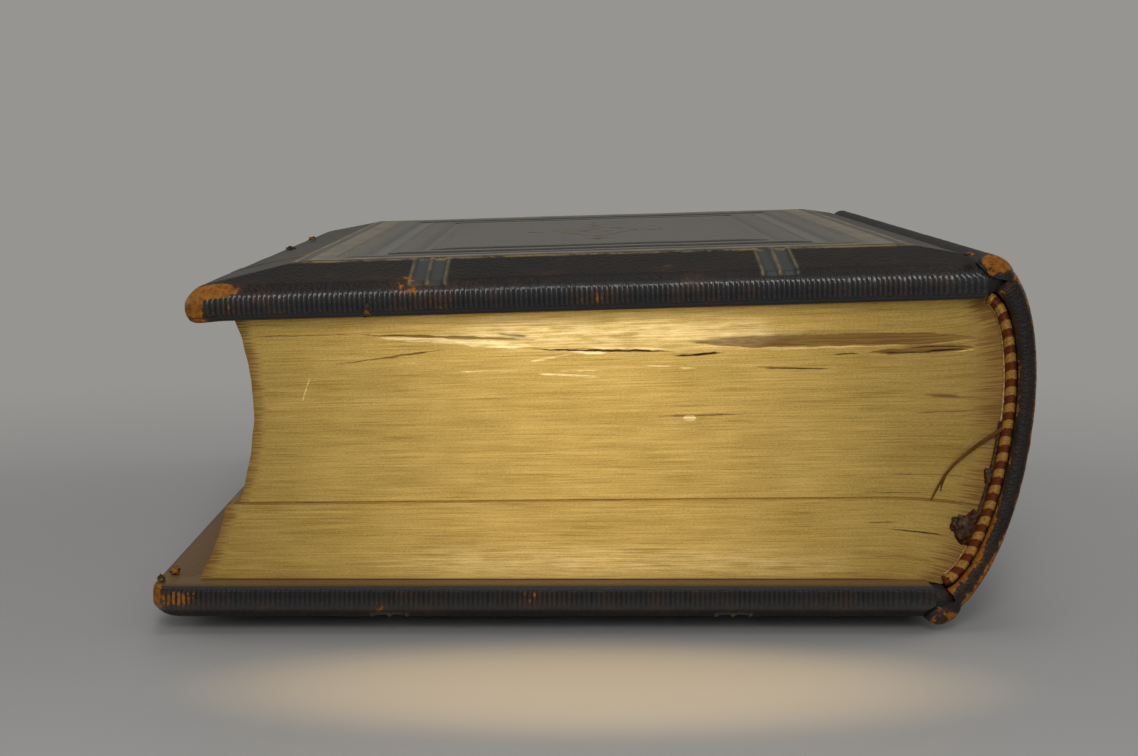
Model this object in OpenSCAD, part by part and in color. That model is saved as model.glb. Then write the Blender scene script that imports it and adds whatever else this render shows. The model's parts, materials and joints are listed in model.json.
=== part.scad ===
// Thick antique bible: bevelled leather-covered boards, a rounded and cocked text block
// with a hollow fore-edge, silk endbands and a hollow leather spine with raised bands.
// It lies on its back cover: +X runs from the fore-edge to the spine, +Y from head to tail.

/* [Boards] */
// Width of a cover from its fore-edge to the centre of its joint
cover_w = 207.5; // [180:0.5:240]
// Height of a cover from head to tail
cover_h = 262; // [220:1:320]
// Thickness of a cover at its ribbed edge
edge_t = 5.8; // [4:0.1:8]
// Rise of the raised panel above the ribbed edge
panel_rise = 7.6; // [4:0.1:10]
// Width of the bevel along the head and the tail
bevel_head = 24; // [14:0.5:34]
// Width of the bevel along the fore-edge
bevel_fore = 26; // [14:0.5:34]
// Width of the bevel along the joint
bevel_joint = 14.5; // [8:0.5:24]
// Share of a bevel's width in the rounded shoulder at its foot
shoulder_run = 0.15; // [0.05:0.01:0.4]
// Share of a bevel's rise in that shoulder
shoulder_rise = 0.36; // [0.1:0.01:0.6]
// Radius of the rounded fore-edge corners
corner_r = 4; // [2:0.5:10]
// Distance from one rib of the edge to the next
rib_pitch = 1.3; // [1:0.1:3]
// Depth of the grooves between the ribs
rib_depth = 0.4; // [0.2:0.05:0.8]
// Height of the smooth strip below the ribs
rib_foot = 1.3; // [0.8:0.1:2.5]
// Height of the smooth strip above the ribs
rib_head = 0.3; // [0.1:0.1:1]

/* [Tooling] */
// Depth of the pressed lines and bars
tool_depth = 0.3; // [0.1:0.05:0.5]
// Inset of the wide pressed frame from the edge of the panel
frame_inset = 17.5; // [8:0.5:30]
// Width of that frame
frame_w = 4.4; // [2:0.2:8]
// Distance of the pressed bars on the head and tail bevels from the middle of the panel
bar_x = 45.6; // [25:0.2:60]
// Distance of the pressed bars on the fore-edge bevel from the middle of the cover
bar_y = 75; // [40:1:90]
// Width of one pressed bar
bar_w = 3; // [2:0.1:5]
// Gap between the two bars of a pair
bar_gap = 1.2; // [0.6:0.1:3]

/* [Leather and paper] */
// Thickness of the covering leather
leather_t = 1.2; // [0.8:0.1:2]
// Thickness of the pared leather turned in over a board
turn_in_t = 0.8; // [0.4:0.1:1.2]
// Width of the leather turned in over a board
turn_in_w = 17; // [12:0.5:30]
// Thickness of a pastedown
pastedown_t = 0.5; // [0.2:0.1:0.8]
// Gap between the outer leaves and a cover
page_gap = 0.2; // [0.1:0.05:0.5]

/* [Text block] */
// Overhang of the covers past the leaves at the head and the tail
square_head = 6.5; // [3:0.5:12]
// Overhang of the covers past the leaves at the fore-edge
square_fore = 11.8; // [6:0.2:18]
// Thickness of the text block at the fore-edge
block_fore_t = 69.3; // [55:0.1:80]
// Thickness of the text block at the joints, swollen by the sewing
block_back_t = 75; // [60:0.1:84]
// Depth of the hollow in the fore-edge
fore_hollow = 9; // [4:0.5:14]
// Height of the lower gatherings that slipped forward
slip_h = 20.3; // [8:0.1:30]
// Distance that they slipped
slip = 3; // [1:0.5:5]
// Bulge of the rounded back past the line between the joints
back_round = 12.4; // [8:0.2:16]
// Shift of the front cover towards the spine, as the book leans
lean = 11; // [0:0.5:16]

/* [Spine] */
// Bulge of the leather spine past the line between the joints
spine_round = 18.1; // [17.5:0.1:24]
// Radius of the leather roll along each joint
joint_r = 4.5; // [3.5:0.1:5.5]
// Height of the roll above the inner face of its cover
joint_lift = 1.3; // [0.8:0.1:2.5]
// Angle above level at which the cover leather leaves the roll
roll_angle = 50; // [30:1:60]
// Angle above level at which the spine leather starts beside the roll
crease_angle = 8; // [0:1:12]
// Running clearance around a roll
joint_clear = 0.3; // [0.2:0.05:0.5]
// Distance of a headcap below the edge of the covers
cap_drop = 1.5; // [0.5:0.5:4]
// Depth of the folded leather of a headcap
cap_t = 2.6; // [1.5:0.1:3.5]
// Thickness of the card that stiffens the spine
card_t = 1.2; // [0.8:0.1:1.6]
// Length of the leather turned in at the head and the tail of the spine
spine_turn_in = 14; // [8:1:25]
// Number of sewing cords and raised bands
band_count = 5; // [3:1:7]
// Height of a raised band above the spine
band_rise = 1.8; // [0.8:0.1:3]
// Width of a raised band
band_w = 7; // [4:0.5:12]
// Turn of the spine, from each joint, at which a raised band ends
band_start = 24; // [20:1:40]

/* [Sewing and endbands] */
// Width of a sewing cord
cord_w = 2.4; // [1.5:0.1:4]
// Depth of a sewing cord in the back of the leaves
cord_t = 1.6; // [1:0.1:3]
// Thickness of the cloth glued over the back
mull_t = 0.5; // [0.3:0.1:0.8]
// Width of an endband's bead across the leaves
endband_w = 2.6; // [1.5:0.1:4]
// Height of an endband's bead above the leaves
endband_h = 3.4; // [2:0.1:4.5]
// Thickness of the tape that an endband is woven on
endband_tape_t = 0.4; // [0.2:0.1:0.6]
// Length of that tape down the back
endband_tape = 11; // [6:1:20]
// Turn of the back, from each joint, at which an endband ends
endband_start = 14; // [12:1:30]

/* [Hidden] */
$fn = 64;
arc_steps = 36;
shoulder_steps = 4;
hollow_steps = 14;
corner_steps = 6;
round_steps = 4;
band_steps = 3;
past = 1;
lap = 0.1;
glue_t = 0.05;

// Heights of a cover, measured from the centre of its joint roll
inner_z = -(joint_r + joint_lift);
edge_z = inner_z + edge_t;
panel_z = edge_z + panel_rise;
roll_x = joint_r * cos(roll_angle);
roll_z = joint_r * sin(roll_angle);
board_end = joint_r + joint_clear;

// Places of the two joints before the book is centred
page_z = edge_t + panel_rise + page_gap;
leaf_w = cover_w - square_fore;
tilt = atan((block_back_t - block_fore_t) / leaf_w);
back_z = edge_t + panel_rise + inner_z;
front_z = page_z + block_back_t + (page_gap - inner_z) / cos(tilt);
mid_z = (front_z + back_z) / 2;
half_z = (front_z - back_z) / 2;
page_h = cover_h - 2 * square_head;
spine_h = cover_h - 2 * cap_drop;

// Half heights of the curves of the back: each ends beside the joint rolls
spine_half = half_z + joint_r;
block_half = half_z - joint_r - joint_clear;
spine_out = norm([lean / 2 * (spine_half + band_rise) / half_z, spine_round + band_rise]);
shift_x = (cover_w - lean / 2 - spine_out) / 2;
band_pitch = cover_h / (band_count + 1);
endband_out = mull_t + endband_tape_t;

// A point on the leaning half-ellipse of the back, from the front joint to the back joint
function back_point(half, round_x, a) =
    [lean / 2 * (1 + cos(a) * half / half_z) + round_x * sin(a), mid_z + half * cos(a)];

function back_arc(half, round_x, start = 0) =
    [for (i = [0:arc_steps]) back_point(half, round_x, start + (180 - 2 * start) * i / arc_steps)];

function reversed(points) = [for (i = [len(points) - 1:-1:0]) points[i]];

// Rise of a bevel at a share of its width: a rounded shoulder, then a straight slope to the panel
function bevel_rise(s) =
    shoulder_rise * (1 - pow(1 - min(s / shoulder_run, 1), 2)) + (1 - shoulder_rise) * s;

function bevel_curve(x0, z0, x1, z1) =
    [for (s = concat([for (i = [0:shoulder_steps]) shoulder_run * i / shoulder_steps], [1]))
        [x0 + (x1 - x0) * s, z0 + (z1 - z0) * bevel_rise(s)]];

// Section of a cover across the joint, drawn inside its outer face by a skin
function cover_section(skin, floor_z, end_x) = concat(
    [[-cover_w + skin, floor_z]],
    bevel_curve(-cover_w + skin, edge_z - skin, -cover_w + bevel_fore, panel_z - skin),
    reversed(bevel_curve(-end_x, roll_z - skin, -roll_x - bevel_joint, panel_z - skin)),
    [[-end_x, floor_z]]
);

// Section of a cover along the joint
function cover_profile(skin, floor_z) = concat(
    [[-cover_h / 2 + skin, floor_z]],
    bevel_curve(-cover_h / 2 + skin, edge_z - skin, -cover_h / 2 + bevel_head, panel_z - skin),
    reversed(bevel_curve(cover_h / 2 - skin, edge_z - skin, cover_h / 2 - bevel_head, panel_z - skin)),
    [[cover_h / 2 - skin, floor_z]]
);

// Rounded corner of a cover at the fore-edge, at the tail for a side of 1 and at the head for -1
function corner_arc(side, skin) =
    [for (i = [0:corner_steps])
        let (s = side > 0 ? i : corner_steps - i, a = 90 + 90 * s / corner_steps)
        [-cover_w + corner_r + (corner_r - skin) * cos(a),
         side * (cover_h / 2 - corner_r + (corner_r - skin) * sin(a))]];

// Outline of a cover in plan, square at the joint and rounded at the fore-edge
function cover_outline(skin) = concat(
    [[past, cover_h / 2 - skin]],
    corner_arc(1, skin),
    corner_arc(-1, skin),
    [[past, -cover_h / 2 + skin]]
);

// Grooves and crests of the ribs along one side of a cover, cut inwards from the side's line
function rib_row(from, to, inwards) =
    let (count = round(norm(to - from) / rib_pitch))
    [for (i = [0:count - 1], step = [0, 0.5])
        from + (to - from) * (i + step) / count + inwards * (step == 0 ? rib_depth : lap / 2)];

// Outline of a cover in plan with ribs on its three free sides
function ribbed_outline() =
    let (left = -cover_w, half = cover_h / 2, start = left + corner_r, stop = half - corner_r)
    concat(
        [[past, half - lap / 2]],
        rib_row([-roll_x, half], [start, half], [0, -1]),
        corner_arc(1, lap / 2),
        rib_row([left, stop], [left, -stop], [1, 0]),
        corner_arc(-1, lap / 2),
        rib_row([start, -half], [-roll_x, -half], [0, 1]),
        [[past, -half + lap / 2]]
    );

// Turns a profile drawn in X and Z into a bar along Y
module along_y(length) {
    rotate([90, 0, 0]) linear_extrude(height = length, center = true) children();
}

// Cover shape with mitred bevels, drawn from the centre of its joint
module cover_form(skin, floor_z, end_x) {
    intersection() {
        along_y(cover_h) polygon(cover_section(skin, floor_z, end_x));
        translate([-cover_w - past, 0, 0]) rotate([90, 0, 90])
            linear_extrude(height = cover_w + 2 * past) polygon(cover_profile(skin, floor_z));
        translate([0, 0, inner_z - past])
            linear_extrude(height = panel_z - inner_z + 2 * past) polygon(cover_outline(skin));
    }
}

// Space inside the turned-in leather, where the pastedown lies
module pastedown_field(from_z, thickness) {
    translate([-cover_w + turn_in_w, -cover_h / 2 + turn_in_w, from_z])
        cube([cover_w - turn_in_w - board_end, cover_h - 2 * turn_in_w, thickness]);
}

module cover_board() {
    cover_form(leather_t, inner_z + turn_in_t, board_end);
}

// Grooves between the ribs, cut from a frame that runs round the cover
module rib_grooves() {
    low = inner_z + rib_foot;
    translate([0, 0, low]) linear_extrude(height = edge_z - rib_head - low) difference() {
        translate([-cover_w - past, -cover_h / 2 - past]) square([cover_w, cover_h + 2 * past]);
        polygon(ribbed_outline());
    }
}

// Sunken frame on the panel
module pressed_frame() {
    low_x = -cover_w + bevel_fore + frame_inset;
    size_x = cover_w - bevel_fore - roll_x - bevel_joint - 2 * frame_inset;
    size_y = cover_h - 2 * bevel_head - 2 * frame_inset;
    translate([low_x, -size_y / 2, panel_z - tool_depth]) linear_extrude(height = past) difference() {
        square([size_x, size_y]);
        translate([frame_w, frame_w]) square([size_x - 2 * frame_w, size_y - 2 * frame_w]);
    }
}

// Pairs of upright walls that mark where the bars cross the bevels
module bar_walls() {
    mid_x = (bevel_fore - cover_w - roll_x - bevel_joint) / 2;
    reach = bar_gap / 2 + bar_w / 2;
    deep = panel_z - edge_z + 2 * past;
    for (side = [-1, 1], pair = [-1, 1], end = [-1, 1]) {
        translate([mid_x + side * bar_x + pair * reach, end * (cover_h - bevel_head) / 2, panel_z])
            cube([bar_w, bevel_head - 2 * past, deep], center = true);
        if (end < 0)
            translate([-cover_w + bevel_fore / 2, side * bar_y + pair * reach, panel_z])
                cube([bevel_fore - 2 * past, bar_w, deep], center = true);
    }
}

module cover_leather() {
    difference() {
        union() {
            cover_form(0, inner_z, roll_x);
            rotate([90, 0, 0]) cylinder(r = joint_r, h = spine_h, center = true);
        }
        cover_board();
        pastedown_field(inner_z - past, turn_in_t + past);
        rib_grooves();
        pressed_frame();
        difference() {
            bar_walls();
            translate([0, 0, -tool_depth]) cover_form(0, inner_z, roll_x);
        }
    }
}

module cover_pastedown() {
    pastedown_field(inner_z + turn_in_t - pastedown_t, pastedown_t);
}

module on_front() {
    translate([lean + shift_x, 0, front_z]) rotate([0, -tilt, 0]) children();
}

module on_back() {
    translate([shift_x, 0, back_z]) mirror([0, 0, 1]) children();
}

// Room that the joint roll and the opening cover need beside the spine
module joint_room() {
    reach = joint_r * 4;
    rotate([90, 0, 0]) cylinder(r = joint_r + joint_clear, h = cover_h + past, center = true);
    along_y(cover_h + past) polygon([
        [0, 0], [reach * cos(crease_angle), reach * sin(crease_angle)], [reach, reach], [-reach, reach], [-reach, 0]
    ]);
}

// Curved layer of the back between two depths, from one height along the book to another
module back_bar(half, round_x, outer, inner, from_y, to_y, start = 0) {
    translate([shift_x, (from_y + to_y) / 2, 0]) along_y(to_y - from_y) polygon(concat(
        back_arc(half + outer, round_x + outer, start),
        reversed(back_arc(half + inner, round_x + inner, start))
    ));
}

// Cuts its children back from both joints
module clear_of_joints() {
    difference() {
        union() children();
        on_front() joint_room();
        on_back() joint_room();
    }
}

module back_layer(half, round_x, outer, inner, from_y, to_y) {
    clear_of_joints() back_bar(half, round_x, outer, inner, from_y, to_y);
}

function band_y(i) = (i - (band_count - 1) / 2) * band_pitch;

module cords() {
    for (i = [0:band_count - 1])
        back_layer(block_half, back_round, 0, -cord_t, band_y(i) - cord_w / 2, band_y(i) + cord_w / 2);
}

// Edge of the leaves at the fore-edge, hollow, with the lower gatherings slipped forward
function fore_point(s, out) =
    [-leaf_w + lean * s + fore_hollow * 4 * s * (1 - s) - out, page_z + block_fore_t * s];

function fore_curve() =
    let (step = slip_h / block_fore_t)
    concat(
        [for (i = [0:round_steps]) fore_point(step * i / round_steps, slip * i / round_steps)],
        [for (i = [0:hollow_steps]) fore_point(step + (1 - step) * i / hollow_steps, 0)]
    );

function leaf_top(x) = page_z + block_back_t - (lean - x) * tan(tilt);

module leaves() {
    back_x = joint_clear - roll_x;
    front_x = lean + back_x;
    clear_of_joints() translate([shift_x, 0, 0]) along_y(page_h) polygon(concat(
        [[back_x, page_z]],
        fore_curve(),
        [[front_x, leaf_top(front_x)]],
        back_arc(block_half, back_round)
    ));
}

module text_block() {
    color("darkgoldenrod") difference() {
        leaves();
        cords();
    }
}

module sewing_cords() {
    color("tan") cords();
}

module spine_mull() {
    color("wheat") back_layer(block_half, back_round, mull_t, 0, -page_h / 2, page_h / 2);
}

// Endband at the head: a round bead on the leaves and the tape that holds it to the back
module endband() {
    base = -page_h / 2;
    half_w = (endband_out + endband_w) / 2;
    for (i = [0:round_steps - 1]) {
        trim = half_w * (1 - cos(90 * i / round_steps));
        low = i == 0 ? 0 : endband_h * sin(90 * i / round_steps) - lap;
        high = endband_h * sin(90 * (i + 1) / round_steps);
        back_bar(
            block_half, back_round, endband_out - trim, trim - endband_w, base - high, base - low, endband_start
        );
    }
    back_bar(
        block_half, back_round, endband_out, mull_t + glue_t, base - lap, base + endband_tape, endband_start
    );
}

module head_endband() {
    color("firebrick") endband();
}

module tail_endband() {
    color("firebrick") mirror([0, 1, 0]) endband();
}

module spine_card() {
    color("burlywood") back_layer(
        spine_half, spine_round, -leather_t, -leather_t - card_t, -spine_h / 2 + cap_t, spine_h / 2 - cap_t
    );
}

// Headcap: the leather folded over the end of the spine, rounded towards the outside
module headcap() {
    base = -spine_h / 2;
    inner_x = back_round + endband_out + joint_clear;
    depth = spine_round - inner_x;
    for (i = [1:round_steps]) {
        from_edge = cap_t * (1 - sin(90 * i / round_steps));
        inset = cap_t / 2 * (1 - cos(90 * (round_steps - i) / round_steps));
        back_layer(spine_half, spine_round, -inset, -depth, base + from_edge, base + cap_t);
    }
    back_layer(
        spine_half, spine_round, -leather_t - card_t, -leather_t - card_t - turn_in_t, base + cap_t - past,
        base + spine_turn_in
    );
}

// Raised band: a low rounded ridge across the spine that ends short of the joints
module raised_band(y) {
    for (i = [1:band_steps]) {
        rise = band_rise * sin(90 * i / band_steps);
        half_w = band_w / 2 * cos(90 * (i - 1) / band_steps);
        back_bar(spine_half, spine_round, rise, -leather_t / 2, y - half_w, y + half_w, band_start);
    }
}

module spine_leather() {
    color("black") {
        back_layer(spine_half, spine_round, 0, -leather_t, -spine_h / 2 + cap_t, spine_h / 2 - cap_t);
        for (i = [0:band_count - 1]) raised_band(band_y(i));
        headcap();
        mirror([0, 1, 0]) headcap();
    }
}

module front_board() {
    color("peru") on_front() cover_board();
}

module front_leather() {
    color("dimgray") on_front() cover_leather();
}

module front_pastedown() {
    color("ivory") on_front() cover_pastedown();
}

module back_board() {
    color("peru") on_back() cover_board();
}

module back_leather() {
    color("dimgray") on_back() cover_leather();
}

module back_pastedown() {
    color("ivory") on_back() cover_pastedown();
}

text_block();
sewing_cords();
spine_mull();
head_endband();
tail_endband();
spine_card();
spine_leather();
front_board();
front_leather();
front_pastedown();
back_board();
back_leather();
back_pastedown();
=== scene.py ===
"""Looks of an antique bible: worn morocco boards, gilt leaves, striped endbands and a rounded spine."""

import json
import logging
import math
import random
from dataclasses import dataclass
from enum import Enum
from typing import Any, Callable, Sequence

import bmesh
import bpy
from mathutils import Matrix, Vector, noise


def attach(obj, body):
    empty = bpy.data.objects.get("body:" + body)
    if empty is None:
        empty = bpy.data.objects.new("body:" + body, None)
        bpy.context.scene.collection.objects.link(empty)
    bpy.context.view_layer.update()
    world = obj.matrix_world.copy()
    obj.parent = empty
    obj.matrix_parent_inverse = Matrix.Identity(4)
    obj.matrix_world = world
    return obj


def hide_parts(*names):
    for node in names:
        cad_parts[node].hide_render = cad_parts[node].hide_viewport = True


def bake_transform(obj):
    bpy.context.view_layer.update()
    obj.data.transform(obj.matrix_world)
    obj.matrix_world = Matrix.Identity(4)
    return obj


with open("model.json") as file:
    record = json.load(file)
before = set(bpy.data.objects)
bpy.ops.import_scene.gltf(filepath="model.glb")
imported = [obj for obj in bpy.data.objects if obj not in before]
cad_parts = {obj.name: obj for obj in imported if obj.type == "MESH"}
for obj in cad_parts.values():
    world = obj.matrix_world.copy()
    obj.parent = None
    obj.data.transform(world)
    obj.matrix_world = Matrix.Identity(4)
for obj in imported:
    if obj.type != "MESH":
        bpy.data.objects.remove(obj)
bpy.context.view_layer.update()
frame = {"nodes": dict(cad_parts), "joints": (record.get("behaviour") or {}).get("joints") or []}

MM = 0.001
WELD = 0.005 * MM
JOINT_RADIUS = 4.5
ROUND_CREASE = 80.0
LOG = logging.getLogger("antique_bible")

LEATHER_MARKS = ("wear", "tool", "gilt", "lining", "polish")
LEAF_MARKS = ("leaf", "run", "rub")

Marks = dict[str, float]
Place = Callable[[int, int], tuple[Vector, Marks]]
Span = tuple[float, float]
Point = tuple[float, float, float]
Socket = bpy.types.NodeSocket
Number = Socket | float
Colour = Socket | str | tuple[float, float, float, float]
Inputs = dict[str | int, Any]


def linear(colour: str) -> tuple[float, float, float, float]:
    """Turns an sRGB colour into the linear one that a socket takes.

    Args:
        colour: The colour as a hex value with a hash in front.

    Returns:
        Linear red, green and blue, and an alpha of 1.
    """
    parts = [int(colour[i:i + 2], 16) / 255 for i in (1, 3, 5)]
    red, green, blue = [c / 12.92 if c <= 0.04045 else ((c + 0.055) / 1.055) ** 2.4 for c in parts]
    return red, green, blue, 1.0


def mixed(a: float, b: float, share: float) -> float:
    """Gives the value that lies a share of the way from a to b."""
    return a + (b - a) * share


def eased(low: float, high: float, value: float) -> float:
    """Rises smoothly from 0 at low to 1 at high."""
    share = min(max((value - low) / (high - low), 0.0), 1.0)
    return share * share * (3 - 2 * share)


def squeezed(value: float, outer: Span, inner: Span, room: float = 12.0) -> float:
    """Carries a place straight in from an outer stretch to an inner one, and squeezes only near its ends.

    Args:
        value: The place on the outer stretch.
        outer: Ends of the outer stretch.
        inner: Ends of the inner stretch.
        room: Length at each end of the inner stretch that is squeezed.

    Returns:
        The place on the inner stretch.
    """
    low, high = inner[0] + room, inner[1] - room
    if value < low:
        return mixed(inner[0], low, (value - outer[0]) / (low - outer[0]))
    if value > high:
        return mixed(inner[1], high, (outer[1] - value) / (outer[1] - high))
    return value


def uneven(size: float, *place: float) -> float:
    """Gives smooth noise from about -1 to 1, with bumps of a size in the units of the place."""
    x, y, z = (*place, 0.0, 0.0)[:3]
    return noise.noise(Vector((x, y, z)) / size)


def run_lengths(points: Sequence[Vector]) -> list[float]:
    """Lists how far along a path each of its points lies.

    Args:
        points: The path's points in order.

    Returns:
        A length for each point, from 0.
    """
    lengths = [0.0]
    for a, b in zip(points, points[1:]):
        lengths.append(lengths[-1] + (b - a).length)
    return lengths


def joint_place(name: str) -> Vector:
    """Reads where a joint's axis lies, in millimetres."""
    found = next(joint for joint in frame["joints"] if joint["name"] == name)
    return Vector(found["pos_m"]) / MM


class Side(Enum):
    """A stretch of a cover's outline, in the order in which it is followed."""

    HEAD = "head"
    HEAD_CORNER = "head corner"
    FORE = "fore-edge"
    TAIL_CORNER = "tail corner"
    TAIL = "tail"
    JOINT = "joint"


class CoverKind(Enum):
    """One of the two covers."""

    FRONT = "front"
    BACK = "back"


class BookEnd(Enum):
    """One of the two ends of the spine, with its direction along Y."""

    HEAD = -1
    TAIL = 1


class StreakKind(Enum):
    """Kinds of streak along the leaves: rubbed paper, a split darkened with painted shade, and a painted
    glint.
    """

    RUBBED = "rubbed"
    SPLIT = "split"
    BRIGHT = "bright"


def fill_inputs(tree: bpy.types.NodeTree, node: bpy.types.Node, inputs: Inputs) -> None:
    """Sets or links a node's inputs, by name or number.

    Args:
        tree: The material's or world's node tree.
        node: The node.
        inputs: A value or a linked socket for each input.
    """
    for key, value in inputs.items():
        if isinstance(value, Socket):
            tree.links.new(value, node.inputs[key])
        else:
            node.inputs[key].default_value = value


def add_node(
    tree: bpy.types.NodeTree, kind: str, inputs: Inputs | None = None, **settings: Any
) -> bpy.types.Node:
    """Adds a node with its settings, values and links.

    Args:
        tree: The material's or world's node tree.
        kind: Blender's name of the node type.
        inputs: A value or a linked socket for each input, by name or number.
        **settings: The node's own properties.

    Returns:
        The new node.
    """
    node = tree.nodes.new(kind)
    for name, value in settings.items():
        setattr(node, name, value)
    fill_inputs(tree, node, inputs or {})
    return node


class Pen:
    """Draws the nodes of one material or world, from sockets, plain numbers and hex colours."""

    def __init__(self, tree: bpy.types.NodeTree) -> None:
        """Starts on a node tree."""
        self.tree = tree

    def place(self) -> Socket:
        """Gives the place on the object, in metres."""
        return add_node(self.tree, "ShaderNodeTexCoord").outputs["Object"]

    def mark(self, name: str) -> Socket:
        """Gives a number that the mesh carries on its points."""
        return add_node(self.tree, "ShaderNodeAttribute", attribute_name=name).outputs["Fac"]

    def math(self, operation: str, *values: Number) -> Socket:
        """Works out one operation on numbers."""
        return add_node(self.tree, "ShaderNodeMath", dict(enumerate(values)), operation=operation).outputs[0]

    def times(self, value: Number, factor: Number, plus: Number | None = None) -> Socket:
        """Multiplies two numbers, and adds a third where it is given.

        Args:
            value: The first number.
            factor: The second number.
            plus: What is added, or None.

        Returns:
            The new number.
        """
        if plus is None:
            return self.math("MULTIPLY", value, factor)
        return self.math("MULTIPLY_ADD", value, factor, plus)

    def most(self, *values: Number) -> Socket:
        """Gives the largest of some numbers.

        Args:
            *values: The numbers, with a socket first.

        Returns:
            The largest number.
        """
        found = values[0]
        for value in values[1:]:
            found = self.math("MAXIMUM", value, found)
        return found

    def noise(self, place: Socket, size: float, detail: float, roughness: float = 0.5) -> Socket:
        """Gives noise with bumps of a size in the units of the place."""
        inputs = {"Vector": place, "Scale": 1 / size, "Detail": detail, "Roughness": roughness}
        return add_node(self.tree, "ShaderNodeTexNoise", inputs).outputs["Fac"]

    def ramp(
        self, value: Number, low: float, high: float, start: Number = 0.0, end: Number = 1.0,
        smooth: bool = False,
    ) -> Socket:
        """Carries a number from one stretch to another, and holds it past the ends.

        Args:
            value: The number.
            low: Start of the stretch that it comes from.
            high: End of that stretch.
            start: What low becomes.
            end: What high becomes.
            smooth: Whether it eases in and out.

        Returns:
            The new number.
        """
        inputs = {"Value": value, "From Min": low, "From Max": high, "To Min": start, "To Max": end}
        kind = "SMOOTHSTEP" if smooth else "LINEAR"
        return add_node(self.tree, "ShaderNodeMapRange", inputs, interpolation_type=kind).outputs[0]

    def mix(self, share: Number, under: Colour, over: Colour) -> Socket:
        """Lays a share of one colour over another."""
        a, b = [linear(colour) if isinstance(colour, str) else colour for colour in (under, over)]
        return add_node(self.tree, "ShaderNodeMix", {0: share, 6: a, 7: b}, data_type="RGBA").outputs[2]

    def bump(self, height: Socket, depth: float, strength: Number, invert: bool = False) -> Socket:
        """Raises the surface by a depth in millimetres."""
        inputs = {"Strength": strength, "Distance": depth * MM, "Height": height}
        return add_node(self.tree, "ShaderNodeBump", inputs, invert=invert).outputs[0]

    def seen(self) -> Socket:
        """Gives 1 where the camera sees a place, also in a reflection or through glass, and 0 elsewhere."""
        rays = add_node(self.tree, "ShaderNodeLightPath").outputs
        return self.most(*(rays[f"Is {kind} Ray"] for kind in ("Camera", "Glossy", "Transmission")))


class Finish:
    """What all finishes share: a name and a material that is made once."""

    name: str

    def material(self) -> bpy.types.Material:
        """Makes the material at its first use and gives the same one after that.

        Returns:
            The finish's one material.
        """
        made = bpy.data.materials.get(self.name)
        if made is None:
            made = bpy.data.materials.new(self.name)
            made.use_nodes = True
            tree = made.node_tree
            fill_inputs(tree, tree.nodes["Principled BSDF"], self.paint(Pen(tree)))
        return made

    def paint(self, pen: Pen) -> Inputs:
        """Draws the finish's nodes and gives the inputs of its shader."""
        raise NotImplementedError
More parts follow.
